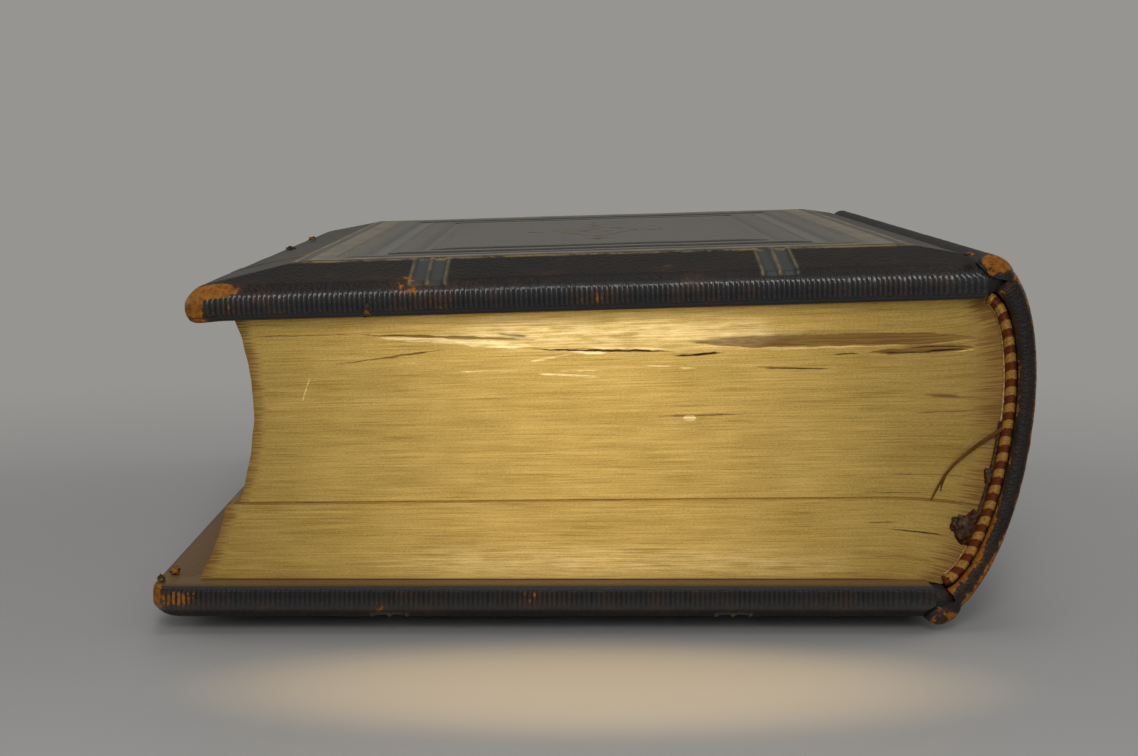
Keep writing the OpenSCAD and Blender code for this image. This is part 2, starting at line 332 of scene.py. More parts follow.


# Goatskin, dyed nearly black and rolled to a pebble grain: it glints in small points, greys at a
# flat angle, and shows orange-brown suede where the dyed skin has rubbed off.
# Tooled, burnished places get a lighter blue-grey colour: smoother leather with a painted sheen on it.
@dataclass(frozen=True)
class Morocco(Finish):
    """Worn grained leather, with sizes in millimetres."""

    name: str = "worn_morocco"
    dyed: str = "#151313"
    faded: str = "#261f1b"
    rubbed: str = "#452c19"
    bared: str = "#6b3f16"
    frayed: str = "#945f26"
    gilding: str = "#b39a5c"
    # Smooth tooled leather, lightened to blue-grey by a painted sheen.
    burnished_sheen: str = "#2c2f32"
    pared: str = "#715632"
    dusty: str = "#c9c3b4"
    grain_size: Span = (0.75, 1.5)
    grain_turn: float = 38.0
    grain_depth: float = 0.2
    pore: float = 0.35
    speck: float = 1.3
    patch: float = 8.0
    cloud: float = 45.0
    speck_share: float = 0.38
    wear_pull: float = 0.5
    halo_from: Span = (0.56, 0.75)
    bare_from: Span = (0.72, 0.77)
    gold_from: Span = (0.4, 0.54)

    def paint(self, pen: Pen) -> Inputs:
        """Mixes dyed, rubbed and bared leather by the wear of the place, over a slanted pebble grain, with a
        painted blue-grey sheen where it is tooled.

        Args:
            pen: What draws in the material.

        Returns:
            Inputs of the material's shader.
        """
        place = pen.place()
        wear, tool, gilt, lining, polish = [pen.mark(mark) for mark in LEATHER_MARKS]
        clouds, patches, specks, pores = [
            pen.noise(place, size * MM, detail, 0.6)
            for size, detail in ((self.cloud, 4.0), (self.patch, 6.0), (self.speck, 4.0), (self.pore, 2.0))
        ]
        spots = pen.times(specks, self.speck_share, pen.times(patches, 1 - self.speck_share))
        lifted = pen.times(wear, self.wear_pull, spots)
        bare = pen.ramp(lifted, *self.bare_from, smooth=True)
        # Tooled places take the burnished colour, with its painted blue-grey sheen.
        dye = pen.mix(tool, pen.mix(clouds, self.dyed, self.faded), self.burnished_sheen)
        rubbing = pen.mix(pen.ramp(lifted, *self.halo_from, 0.0, 0.7), dye, self.rubbed)
        suede = pen.mix(pen.ramp(specks, 0.35, 0.68), self.bared, self.frayed)
        gold = pen.times(pen.ramp(spots, *self.gold_from), gilt)
        gilded = pen.mix(gold, pen.mix(bare, rubbing, suede), self.gilding)
        depth = pen.times(pen.most(tool, polish), -0.85, 0.9)
        return {
            "Base Color": pen.mix(lining, gilded, self.pared),
            "Metallic": pen.times(gold, 0.7),
            "Roughness": pen.times(polish, -0.28, pen.ramp(bare, 0.0, 1.0, 0.5, 0.85)),
            "Specular IOR Level": pen.ramp(bare, 0.0, 1.0, pen.times(polish, 0.45, 0.18), 0.05),
            "Sheen Weight": pen.times(polish, 0.5, 0.05),
            "Sheen Tint": linear(self.dusty),
            "Normal": pen.bump(self.draw_grain(pen, place, pores), self.grain_depth, depth, invert=True),
        }

    def draw_grain(self, pen: Pen, place: Socket, pores: Socket) -> Socket:
        """Gives the height of the grain: long pebbles on a slant, with pores between them.

        Args:
            pen: What draws in the material.
            place: Place on the leather in metres.
            pores: Fine noise for the pores.

        Returns:
            The grain's height.
        """
        short, long = [size * MM for size in self.grain_size]
        turn = (0.0, 0.0, math.radians(self.grain_turn))
        slant = {"Vector": place, "Rotation": turn, "Scale": (short, long, short)}
        slanted = add_node(pen.tree, "ShaderNodeMapping", slant, vector_type="TEXTURE").outputs[0]
        pebbles = add_node(
            pen.tree, "ShaderNodeTexVoronoi", {"Vector": slanted, "Scale": 1.0, "Smoothness": 0.35},
            feature="SMOOTH_F1",
        )
        return pen.times(pores, 0.35, pebbles.outputs["Distance"])


@dataclass(frozen=True)
class Streak:
    """A mark along the head edge, thickest in its middle, from one X and Z to another in millimetres."""

    kind: StreakKind
    start: Span
    end: Span
    half_height: float
    depth: float = 0.0
    strength: float = 1.0
    soft: float = 0.16
    full_from: float = 0.17

    def weight(self, x: float, z: float) -> float:
        """Tells how much of the streak's relief reaches a place.

        Args:
            x: Place along the edge in millimetres.
            z: Height in millimetres.

        Returns:
            From 0 outside the streak to 1 inside it.
        """
        share = (x - self.start[0]) / (self.end[0] - self.start[0])
        if not 0 < share < 1:
            return 0.0
        half = 4 * self.half_height * share * (1 - share)
        return eased(half + 0.3, half - 0.1, abs(z - mixed(self.start[1], self.end[1], share)))

    def draw(self, pen: Pen, x: Socket, z: Socket) -> Socket:
        """Draws the streak in a material.

        Args:
            pen: What draws in the material.
            x: Place along the edge in millimetres.
            z: Height in millimetres.

        Returns:
            The streak's strength inside it and 0 outside.
        """
        share = pen.ramp(x, self.start[0], self.end[0])
        middle = pen.times(share, self.end[1] - self.start[1], self.start[1])
        away = pen.math("ABSOLUTE", pen.math("SUBTRACT", z, middle))
        room = pen.times(share, pen.math("SUBTRACT", 1.0, share))
        half = pen.times(pen.ramp(room, 0.0, self.full_from), self.half_height, -self.soft / 2)
        return pen.ramp(pen.math("SUBTRACT", half, away), -self.soft / 2, self.soft, 0.0, self.strength)


RUBBED, SPLIT, BRIGHT = StreakKind
STREAKS = (
    Streak(RUBBED, (24.4, 76.8), (102.8, 78.4), 1.7, 0.15),
    Streak(RUBBED, (-62.7, 79.1), (-13.4, 77.6), 0.45),
    Streak(RUBBED, (-69.7, 70.9), (-37.4, 75.4), 0.3),
    Streak(RUBBED, (-25.7, 79.2), (-17.5, 78.5), 0.4),
    Streak(RUBBED, (40.7, 70.5), (63.0, 70.0), 0.4),
    Streak(RUBBED, (84.8, 63.2), (106.4, 62.0), 0.5),
    Streak(RUBBED, (15.5, 57.4), (40.2, 58.0), 0.3),
    Streak(RUBBED, (82.5, 58.3), (106.5, 59.2), 0.3),
    Streak(RUBBED, (71.0, 74.3), (101.0, 75.8), 0.9),
    # Splits between leaves, drawn dark with painted shade in the gap.
    Streak(SPLIT, (-90.4, 78.6), (-59.9, 79.1), 0.18),
    Streak(SPLIT, (-18.9, 75.1), (22.6, 74.7), 0.3),
    Streak(SPLIT, (20.2, 73.4), (34.0, 74.3), 0.45),
    Streak(SPLIT, (61.7, 73.7), (69.5, 74.1), 0.3),
    Streak(SPLIT, (74.0, 74.2), (91.0, 74.7), 0.25),
    Streak(SPLIT, (80.0, 75.5), (99.5, 76.1), 0.3, 0.5),
    Streak(SPLIT, (86.0, 74.6), (98.5, 75.2), 0.3, 0.5),
    Streak(SPLIT, (47.3, 69.9), (57.5, 70.2), 0.2),
    Streak(SPLIT, (77.1, 41.9), (92.3, 41.8), 0.18),
    Streak(SPLIT, (69.0, 37.2), (89.8, 37.0), 0.2),
    Streak(SPLIT, (71.4, 28.9), (81.1, 29.0), 0.2),
    Streak(SPLIT, (76.0, 27.5), (95.4, 25.1), 0.28),
    Streak(SPLIT, (72.4, 19.7), (84.3, 19.7), 0.16),
    # Painted glints: bright streaks in the base colour where tilted leaves would catch the light.
    Streak(BRIGHT, (-58.0, 78.3), (-12.5, 75.8), 0.8, strength=0.8),
    Streak(BRIGHT, (-37.0, 77.0), (-16.0, 76.1), 1.0),
    Streak(BRIGHT, (-44.9, 78.0), (-37.4, 77.8), 0.4),
    Streak(BRIGHT, (-6.6, 75.7), (20.8, 75.2), 0.5),
    Streak(BRIGHT, (-7.3, 74.4), (3.7, 74.2), 0.5),
    Streak(BRIGHT, (-18.2, 71.7), (-5.2, 74.1), 0.35),
    Streak(BRIGHT, (-37.5, 69.3), (-17.6, 69.4), 0.25),
    Streak(BRIGHT, (-11.4, 69.5), (3.0, 69.7), 0.25),
    Streak(BRIGHT, (-15.5, 68.8), (2.3, 67.6), 0.5),
    Streak(BRIGHT, (-51.8, 71.3), (-46.3, 71.6), 0.25),
    Streak(BRIGHT, (11.8, 71.1), (28.6, 70.0), 0.3),
    Streak(BRIGHT, (23.0, 56.9), (26.8, 57.0), 0.8),
    Streak(BRIGHT, (34.0, 74.7), (100.7, 76.8), 0.3, strength=0.3),
    Streak(BRIGHT, (-20.3, 80.7), (7.1, 80.8), 0.25),
    Streak(BRIGHT, (-77.1, 61.1), (-74.7, 68.1), 0.6, strength=0.8),
    # Two broad painted highlights over the top and the lower part of the edge.
    Streak(BRIGHT, (-46.0, 79.0), (58.0, 80.0), 6.0, strength=0.9, soft=5.0),
    Streak(BRIGHT, (-70.0, 18.0), (80.0, 18.0), 6.5, strength=0.5, soft=6.0),
)


# Burnished gold leaf on the cut edges of the leaves: olive gold, bright in a band that faces the light
# because the leaves spread its mirror image upwards, with fine lines and brown paper where it is rubbed.
# Glints along some streaks are painted highlights in the base colour, and the dark splits are painted shade.
@dataclass(frozen=True)
class GiltLeaves(Finish):
    """Gilt edge of a text block, with sizes in millimetres."""

    name: str = "gilt_leaf_edges"
    olive: str = "#a0823c"
    bright: str = "#c9a75c"
    seam: str = "#75571f"
    paper: str = "#785629"
    # Colour of the painted glints.
    glint: str = "#ffe2a2"
    # Painted shade in the splits between leaves.
    split: str = "#3d2711"
    leaf_pitch: float = 0.42
    line_run: float = 18.0
    bundle: float = 1.9
    bundle_run: float = 60.0
    stain: float = 10.0
    fray: float = 1.1
    grit: float = 0.35
    head: float = -123.5
    line_depth: float = 0.05

    def paint(self, pen: Pen) -> Inputs:
        """Draws the leaves as lines along the edge, with streaks of painted glints and painted shade, and
        brown where rubbed.

        Args:
            pen: What draws in the material.

        Returns:
            Inputs of the material's shader.
        """
        leaf, run, rub = [pen.mark(mark) for mark in LEAF_MARKS]
        axes = add_node(pen.tree, "ShaderNodeSeparateXYZ", {0: pen.place()}).outputs
        flow = add_node(pen.tree, "ShaderNodeCombineXYZ", {"X": pen.times(axes["Y"], 1 / MM, run), "Y": leaf})
        lines, bundles, stains, frays, grit = [
            self.stretched(pen, flow.outputs[0], wide, tall, detail)
            for wide, tall, detail in (
                (self.line_run, self.leaf_pitch, 4.0),
                (self.bundle_run, self.bundle, 3.0),
                (self.stain * 2.4, self.stain, 5.0),
                (self.fray * 6, self.fray, 4.0),
                (self.grit * 2, self.grit, 2.0),
            )
        ]
        x, y, z = [pen.times(axes[axis], 1 / MM) for axis in "XYZ"]
        ragged = pen.math("ADD", z, pen.times(frays, 1.4, -0.7))
        at_head = pen.math("LESS_THAN", y, self.head)
        masks = {kind: [] for kind in StreakKind}
        for streak in STREAKS:
            masks[streak.kind].append(streak.draw(pen, x, ragged))
        # Masks of rubbed paper, of splits in painted shade and of painted glints.
        rubbed, split, bright = [pen.times(pen.most(*drawn), at_head) for drawn in masks.values()]
        tone = pen.times(stains, 0.6, pen.times(bundles, 0.35, pen.times(grit, 0.7, lines)))
        gold = pen.mix(pen.ramp(tone, 1.08, 1.57), self.olive, self.bright)
        seamed = pen.mix(pen.ramp(lines, 0.4, 0.25, 0.0, 0.6), gold, self.seam)
        worn = pen.ramp(pen.times(lines, 0.9, pen.times(stains, 0.5, rub)), 0.95, 1.15)
        bare = pen.most(worn, pen.times(rubbed, pen.ramp(lines, 0.36, 0.55, 0.45)))
        torn = pen.times(lines, 0.5, pen.times(frays, 0.5))
        # Painted glints: the glint streaks lighten the base colour where tilted leaves would catch the light.
        gleam = pen.times(bright, pen.ramp(torn, 0.42, 0.6, 0.1))
        lit = pen.mix(gleam, pen.mix(bare, seamed, self.paper), self.glint)
        # Splits take the painted shade as their colour and lose the gold's shine.
        dull = pen.most(bare, split)
        upward = add_node(
            pen.tree, "ShaderNodeVectorTransform", {0: (0.0, 0.0, 1.0)},
            vector_type="VECTOR", convert_from="OBJECT", convert_to="WORLD",
        )
        return {
            "Base Color": pen.mix(split, lit, self.split),
            "Metallic": pen.ramp(dull, 0.0, 1.0, 0.85, 0.0),
            "Roughness": pen.ramp(dull, 0.0, 1.0, 0.42, 0.7),
            "Specular IOR Level": pen.ramp(dull, 0.0, 1.0, 0.5, 0.1),
            "Anisotropic": 0.75,
            "Tangent": upward.outputs[0],
            "Normal": pen.bump(lines, self.line_depth, 0.3),
        }

    def stretched(self, pen: Pen, flow: Socket, wide: float, tall: float, detail: float) -> Socket:
        """Gives noise that is drawn out along the leaves.

        Args:
            pen: What draws in the material.
            flow: Place along and across the leaves, in millimetres.
            wide: Size of the bumps along the leaves.
            tall: Their size across the leaves.
            detail: How fine the noise gets.

        Returns:
            The noise.
        """
        drawn = {0: flow, 1: (1 / wide, 1 / tall, 1.0)}
        place = add_node(pen.tree, "ShaderNodeVectorMath", drawn, operation="MULTIPLY").outputs[0]
        return pen.noise(place, 1.0, detail, 0.6)


# Old rag paper and other fibre goods: matt, slightly mottled, with stains in the colour of tea.
@dataclass(frozen=True)
class FibreSheet(Finish):
    """Paper, board, cloth or cord: two tones in a mottle, with foxing and a fibre bump, in millimetres."""

    name: str
    pale: str
    stained: str
    foxing: str
    fibre: float = 0.5
    mottle: float = 24.0
    spot: float = 5.0
    fibre_depth: float = 0.05

    def paint(self, pen: Pen) -> Inputs:
        """Mottles the sheet, dots it with foxing and gives it a fibre surface.

        Args:
            pen: What draws in the material.

        Returns:
            Inputs of the material's shader.
        """
        place = pen.place()
        sizes = (self.fibre, self.mottle, self.spot)
        fibres, mottles, spots = [pen.noise(place, size * MM, 5.0, 0.6) for size in sizes]
        sheet = pen.mix(pen.ramp(mottles, 0.35, 0.68), self.pale, self.stained)
        return {
            "Base Color": pen.mix(pen.ramp(spots, 0.63, 0.75, 0.0, 0.7), sheet, self.foxing),
            "Roughness": 0.85,
            "Specular IOR Level": 0.2,
            "Normal": pen.bump(fibres, self.fibre_depth, 0.5),
        }


# Silk thread wound over a core in two colours: soft sheen, each turn of thread a fine ridge.
@dataclass(frozen=True)
class StripedSilk(Finish):
    """Endband silk, with sizes in millimetres along the band."""

    name: str = "striped_endband_silk"
    red: str = "#5f270d"
    gold: str = "#a67731"
    dirt: str = "#3b2413"
    stripe: float = 2.2
    thread: float = 0.45
    thread_depth: float = 0.15
    fray: float = 0.8

    def paint(self, pen: Pen) -> Inputs:
        """Changes the colour from stripe to stripe and raises each turn of thread.

        Args:
            pen: What draws in the material.

        Returns:
            Inputs of the material's shader.
        """
        wound = pen.mark("wound")
        fray = pen.noise(pen.place(), self.fray * MM, 4.0)
        wave = pen.math("SINE", pen.times(pen.times(fray, 0.9, wound), math.pi / self.stripe))
        silk = pen.mix(pen.ramp(wave, -0.15, 0.15), self.red, self.gold)
        ridge = pen.math("SINE", pen.times(wound, 2 * math.pi / self.thread))
        return {
            "Base Color": pen.mix(pen.ramp(fray, 0.5, 0.75, 0.0, 0.7), silk, self.dirt),
            "Roughness": 0.6,
            "Specular IOR Level": 0.25,
            "Normal": pen.bump(ridge, self.thread_depth, 0.6),
        }


# Gold leaf pressed into the leather and dulled by handling: pale at a flat angle, broken by dark leather.
@dataclass(frozen=True)
class GoldTooling(Finish):
    """Worn gilt lines of a cover, with sizes in millimetres."""

    name: str = "worn_gold_tooling"
    gold: str = "#a08d62"
    leather: str = "#2a231d"
    flake: float = 4.0

    def paint(self, pen: Pen) -> Inputs:
        """Lets dark leather show where the gold has gone."""
        left = pen.ramp(pen.noise(pen.place(), self.flake * MM, 5.0), 0.42, 0.52)
        return {"Base Color": pen.mix(left, self.leather, self.gold), "Metallic": left, "Roughness": 0.35}


# Animal glue that ran out and dried: dark, brittle and glossy in places, dusty in others.
@dataclass(frozen=True)
class DriedGlue(Finish):
    """Old glue and the frayed thread stuck in it, with sizes in millimetres."""

    name: str = "dried_hide_glue"
    dark: str = "#22150a"
    amber: str = "#573719"
    crumb: float = 1.2
    crumb_depth: float = 0.3

    def paint(self, pen: Pen) -> Inputs:
        """Breaks the glue into dark and amber crumbs.

        Args:
            pen: What draws in the material.

        Returns:
            Inputs of the material's shader.
        """
        crumbs = pen.noise(pen.place(), self.crumb * MM, 5.0)
        return {
            "Base Color": pen.mix(pen.ramp(crumbs, 0.4, 0.66), self.dark, self.amber),
            "Roughness": 0.5,
            "Specular IOR Level": 0.2,
            "Normal": pen.bump(crumbs, self.crumb_depth, 0.8),
        }


# Seamless paper under the object: a plain pale grey that takes a soft shadow and turns into the
# backdrop far behind it, without a horizon.
@dataclass(frozen=True)
class StudioPaper(Finish):
    """Floor of the studio, with distances in metres."""

    name: str = "studio_paper"
    grey: str = "#969594"
    backdrop: str = "#969592"
    front: float = -0.3
    near: float = 0.34
    far: float = 0.72

    def paint(self, pen: Pen) -> Inputs:
        """Lets the paper run out into the backdrop's grey, far from a place before the object.

        Args:
            pen: What draws in the material.

        Returns:
            Inputs of the material's shader.
        """
        tree, nodes = pen.tree, pen.tree.nodes
        centre = {0: pen.place(), 1: (0.0, self.front, 0.0)}
        away = add_node(tree, "ShaderNodeVectorMath", centre, operation="DISTANCE").outputs["Value"]
        share = pen.times(pen.ramp(away, self.near, self.far, smooth=True), pen.seen())
        glow = add_node(tree, "ShaderNodeEmission", {"Color": linear(self.backdrop)}).outputs[0]
        shaders = {0: share, 1: nodes["Principled BSDF"].outputs[0], 2: glow}
        surface = add_node(tree, "ShaderNodeMixShader", shaders).outputs[0]
        tree.links.new(surface, nodes["Material Output"].inputs["Surface"])
        return {"Base Color": linear(self.grey), "Roughness": 0.5, "Specular IOR Level": 0.35}


MOROCCO = Morocco()
GILT = GiltLeaves()
SILK = StripedSilk()
GLUE = DriedGlue()
TOOLING = GoldTooling()
ENDPAPER = FibreSheet("aged_endpaper", "#d2bf94", "#b99f6c", "#8d6a3a")
MILLBOARD = FibreSheet("aged_millboard", "#8f7850", "#7a6440", "#5d4a2e", fibre=1.2)
MULL = FibreSheet("aged_mull_cloth", "#7d6a47", "#66543a", "#4c3d28", fibre=1.0)
CARD = FibreSheet("aged_spine_card", "#b39a6c", "#9c8356", "#7c6238", fibre=0.8)
HEMP = FibreSheet("aged_hemp_cord", "#a58c5f", "#8c7347", "#6b5430", fibre=0.6)
THREAD = FibreSheet("linen_thread", "#b79a66", "#8f6f40", "#6b4a28", fibre=0.3, mottle=3.0)
FRAY = FibreSheet("frayed_leather_strand", "#6b431f", "#4d2d12", "#301a0b", fibre=0.3, mottle=6.0)


class Skin:
    """A piece in the making: grids bent into place, with a number on each point for its finish."""

    def __init__(self, name: str, marks: Sequence[str] = ()) -> None:
        """Starts an empty piece.

        Args:
            name: The piece's name.
            marks: Names of the numbers that each point carries for its finish.
        """
        self.name = name
        self.bm = bmesh.new()
        self.layers = {mark: self.bm.verts.layers.float.new(mark) for mark in marks}

    def bend_grid(self, across: int, along: int, place: Place) -> None:
        """Adds a grid and moves each of its points to its place.

        Args:
            across: Number of steps in the first direction.
            along: Number of steps in the second direction.
            place: Gives a point in millimetres and its marks, from its steps in both directions.
        """
        made = bmesh.ops.create_grid(self.bm, x_segments=across, y_segments=along, size=1.0)["verts"]
        for vert in made:
            point, marks = place(round((vert.co.x + 1) / 2 * across), round((vert.co.y + 1) / 2 * along))
            vert.co = point * MM
            for mark, value in marks.items():
                vert[self.layers[mark]] = value

    def sweep(
        self, path: Sequence[Vector], across: Vector, wide: Callable[[float], float],
        deep: Callable[[float], float], around: int = 10,
    ) -> None:
        """Adds a closed strand along a path.

        Args:
            path: The points that the strand's middle follows, in millimetres.
            across: Direction in which the strand is deep rather than wide.
            wide: Half width at a share of the way along.
            deep: Half depth at a share of the way along.
            around: Number of sides.
        """
        last = len(path) - 1

        def place(i: int, j: int) -> tuple[Vector, Marks]:
            """Puts a point of the strand on its ellipse.

            Args:
                i: Step round the strand.
                j: Step along it.

            Returns:
                The point in millimetres and its marks.
            """
            run = (path[min(j + 1, last)] - path[max(j - 1, 0)]).normalized()
            side = run.cross(across).normalized()
            turn = 2 * math.pi * i / around
            share = j / last
            return path[j] + side * math.cos(turn) * wide(share) + across * math.sin(turn) * deep(share), {}

        self.bend_grid(around, last, place)

    def weld(self) -> None:
        """Merges seams, closes open ends and turns all faces outwards."""
        bmesh.ops.remove_doubles(self.bm, verts=self.bm.verts[:], dist=WELD)
        open_edges = [edge for edge in self.bm.edges if edge.is_boundary]
        if open_edges:
            bmesh.ops.holes_fill(self.bm, edges=open_edges, sides=0)
        bmesh.ops.recalc_face_normals(self.bm, faces=self.bm.faces[:])

    def move(self, matrix: Matrix) -> None:
        """Moves the whole piece."""
        bmesh.ops.transform(self.bm, matrix=matrix, verts=self.bm.verts[:])

    def add_lump(
        self, place: Vector, size: Vector, seed: Vector, waves: Sequence[Span]
    ) -> list[bmesh.types.BMVert]:
        """Adds a rough lump.

        Args:
            place: Its middle in millimetres.
            size: Its half sizes.
            seed: Where in the noise its roughness is taken.
            waves: Height and width of each wave of roughness, as shares of its size.

        Returns:
            The lump's points.
        """
        made = bmesh.ops.create_icosphere(self.bm, subdivisions=3, radius=1.0)["verts"]
        for vert in made:
            rough = 1 + sum(height * uneven(width, *(vert.co + seed)) for height, width in waves)
            vert.co = (place + vert.co * size * rough) * MM
        return made

    def finish(
        self, finishes: Sequence[Finish], body: str | None, slot: str, replaces: Sequence[str] = (),
        crease: float = 50.0,
    ) -> bpy.types.Object:
        """Turns the piece into an object.

        Args:
            finishes: Its finishes, in the order of the faces' material numbers.
            body: The body that it moves with, or None for a piece that joins two.
            slot: The record's material slot; not used.
            replaces: The nodes that it stands for.
            crease: Angle in degrees past which an edge is drawn sharp.

        Returns:
            The new object.
        """
        mesh = bpy.data.meshes.new(self.name)
        self.bm.to_mesh(mesh)
        self.bm.free()
        for finish in finishes:
            mesh.materials.append(finish.material())
        mesh.shade_smooth()
        mesh.set_sharp_from_angle(angle=math.radians(crease))
        piece = bpy.data.objects.new(self.name, mesh)
        bpy.context.scene.collection.objects.link(piece)
        if body:
            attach(piece, body)
        if replaces:
            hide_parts(*replaces)
        LOG.info("%s: %d faces", self.name, len(mesh.polygons))
        return piece


@dataclass
class Back:
    """Curves of the rounded back, which leans between the two joints. Sizes in millimetres."""

    back_joint: Vector
    front_joint: Vector
    joint_radius: float = JOINT_RADIUS
    clearance: float = 0.3
    crease: float = 8.0

    @property
    def lean(self) -> float:
        """Shift of the front joint past the back joint."""
        return self.front_joint.x - self.back_joint.x

    @property
    def half(self) -> float:
        """Half the height between the joints."""
        return (self.front_joint.z - self.back_joint.z) / 2

    def point(self, half: float, bulge: float, angle: float) -> Span:
        """Gives a point on a curve of the back.

        Args:
            half: Half height of the curve.
            bulge: How far it stands out past the line between the joints.
            angle: Turn in degrees, from 0 over the front joint to 180 under the back joint.

        Returns:
            Its X and Z.
        """
        turn = math.radians(angle)
        lean = self.lean / 2 * (1 + math.cos(turn) * half / self.half)
        middle = (self.front_joint.z + self.back_joint.z) / 2
        return self.back_joint.x + lean + bulge * math.sin(turn), middle + half * math.cos(turn)

    def is_clear(self, x: float, z: float, joint: Vector, outward: float) -> bool:
        """Tells whether a point leaves the roll of a joint its room.

        Args:
            x: The point's X.
            z: The point's Z.
            joint: Axis of the joint.
            outward: Direction along Z in which the joint's cover faces.

        Returns:
            Whether it lies off the roll and on the block's side of it.
        """
        over, up = x - joint.x, (z - joint.z) * outward
        if math.hypot(over, up) < self.joint_radius + self.clearance:
            return False
        return math.degrees(math.atan2(up, over)) <= self.crease

    def span(self, half: float, bulge: float, step: float = 0.25) -> Span:
        """Finds the turns between which a curve of the back is clear of both joints.

        Args:
            half: Half height of the curve.
            bulge: How far it stands out past the line between the joints.
            step: Step of the search in degrees.

        Returns:
            The first and the last clear turn in degrees.
        """
        turns = [step * i for i in range(int(180 / step) + 1)]
        clear = [
            turn for turn in turns
            if self.is_clear(*self.point(half, bulge, turn), self.front_joint, 1)
            and self.is_clear(*self.point(half, bulge, turn), self.back_joint, -1)
        ]
        return clear[0], clear[-1]


@dataclass
class TextBlock:
    """Leaves of the book: hollow at the fore-edge, round at the back and gilt on three sides."""

    back: Back
    page_bottom: float = 13.6
    leaf_width: float = 195.7
    height: float = 249.0
    fore_thick: float = 69.3
    back_thick: float = 75.0
    hollow: float = 9.0
    slip_height: float = 20.3
    slip: float = 3.0
    half: float = 38.7
    bulge: float = 12.4
    shoulder: float = 18.0
    bend_run: float = 1.2
    knee_share: float = 0.62
    knee_rise: float = 0.06
    leaf_rows: int = 170
    run_columns: int = 104
    depth_cuts: int = 58
    bundle_rows: int = 9
    ragged: float = 0.006
    cockle: float = 0.015
    tail_cockle: float = 0.25
    tail_ragged: float = 0.03
    fore_wave: float = 0.4
    bundle_gap: float = 0.02
    slip_gap: float = 0.45
    slip_rub: float = 0.3
    end_rub: float = 0.42
    tail_rub: float = 0.3
    tolerance: float = 0.01

    def __post_init__(self) -> None:
        """Works out where each leaf meets the back, spaced evenly along its curve."""
        turns = range(180, -1, -1)
        self.back_points = [Vector(self.back.point(self.half, self.bulge, turn)) for turn in turns]
        lengths = run_lengths(self.back_points)
        self.back_shares = [length / lengths[-1] for length in lengths]
        draw = random.Random(7)
        self.row_offsets = [draw.gauss(0, self.ragged) for _ in range(self.leaf_rows + 1)]

    def back_place(self, share: float) -> Vector:
        """Gives the point of the back that a leaf is sewn to.

        Args:
            share: Share of the thickness, from the lowest leaf up.

        Returns:
            Its X and Z.
        """
        i = max(k for k in range(len(self.back_shares)) if self.back_shares[k] <= share + 1e-9)
        if i == len(self.back_points) - 1:
            return self.back_points[-1]
        step = (share - self.back_shares[i]) / (self.back_shares[i + 1] - self.back_shares[i])
        return self.back_points[i].lerp(self.back_points[i + 1], step)

    def fore_place(self, share: float) -> Vector:
        """Gives the point of the fore-edge that a leaf ends at, in X and Z.

        Args:
            share: Share of the thickness, from the lowest leaf up.

        Returns:
            Its X and Z.
        """
        step = self.slip_height / self.fore_thick
        out = self.slip * share / step if share < step else 0.0
        x = -self.leaf_width + self.back.lean * share + self.hollow * 4 * share * (1 - share) - out
        return Vector((self.back.back_joint.x + x, self.page_bottom + self.fore_thick * share))

    def top(self, x: float) -> float:
        """Gives the height of the uppermost leaf."""
        fall = (self.back_thick - self.fore_thick) / self.leaf_width
        return self.page_bottom + self.back_thick - (self.back.front_joint.x - x) * fall

    def leaf_place(self, leaf: float, run: float) -> Vector:
        """Gives a point of a leaf's head edge, from its share of the thickness and of the width.

        Args:
            leaf: Share of the thickness, from the lowest leaf up.
            run: Share of the width, from the fore-edge to the back.

        Returns:
            Its X and Z.
        """
        fore = self.fore_place(leaf)
        sewn = self.back_place(leaf)
        bend_x = self.back.back_joint.x + self.back.lean * leaf - self.shoulder
        bend = Vector((bend_x, mixed(self.page_bottom, self.top(bend_x), leaf)))
        straight = 1 - self.bend_run * self.shoulder / self.leaf_width
        if run <= straight:
            return fore.lerp(bend, run / straight)
        share = (run - straight) / (1 - straight)
        knee_z = bend.y + (bend.y - fore.y) * self.knee_rise
        knee = Vector((mixed(bend.x, sewn.x, self.knee_share), knee_z))
        return bend.lerp(knee, share).lerp(knee.lerp(sewn, share), share)

    def head_depth(self, row: int, place: Vector) -> Span:
        """Gives how deep the head edge lies at a place, and how rubbed it is there.

        Args:
            row: Number of the leaf's row.
            place: The place in X and Z.

        Returns:
            Its depth, and its rub from 0 to 1.
        """
        depth = self.row_offsets[row] + self.cockle * uneven(5.0, place.x / 7, place.y, 3.0)
        rub = 0.0
        if row % self.bundle_rows == 0:
            depth += self.bundle_gap
        if abs(row - self.slip_height / self.fore_thick * self.leaf_rows) < 0.6:
            depth += self.slip_gap
            rub = self.slip_rub
        for streak in STREAKS:
            if streak.depth:
                rough = 1 + uneven(1.2, place.x / 2, place.y)
                depth += streak.depth * streak.weight(place.x, place.y) * rough
        return depth, rub

    def build(self) -> None:
        """Makes the block from one sheet of head edge that is pulled down to the tail."""
        block = Skin("gilt_text_block", LEAF_MARKS)
        half_height = self.height / 2

        def head(i: int, j: int) -> tuple[Vector, Marks]:
            """Puts a point on the head edge.

            Args:
                i: Step across the leaf.
                j: Row of the leaf.

            Returns:
                The point in millimetres and its marks.
            """
            leaf, run = j / self.leaf_rows, i / self.run_columns
            place = self.leaf_place(leaf, run)
            depth, rub = self.head_depth(j, place)
            near_ends = self.end_rub * max(eased(0.035, 0.0, run), eased(0.91, 0.99, run))
            numbers = (leaf * self.back_thick, run * self.leaf_width, max(rub, near_ends))
            return Vector((place.x, -half_height + depth, place.y)), dict(zip(LEAF_MARKS, numbers))

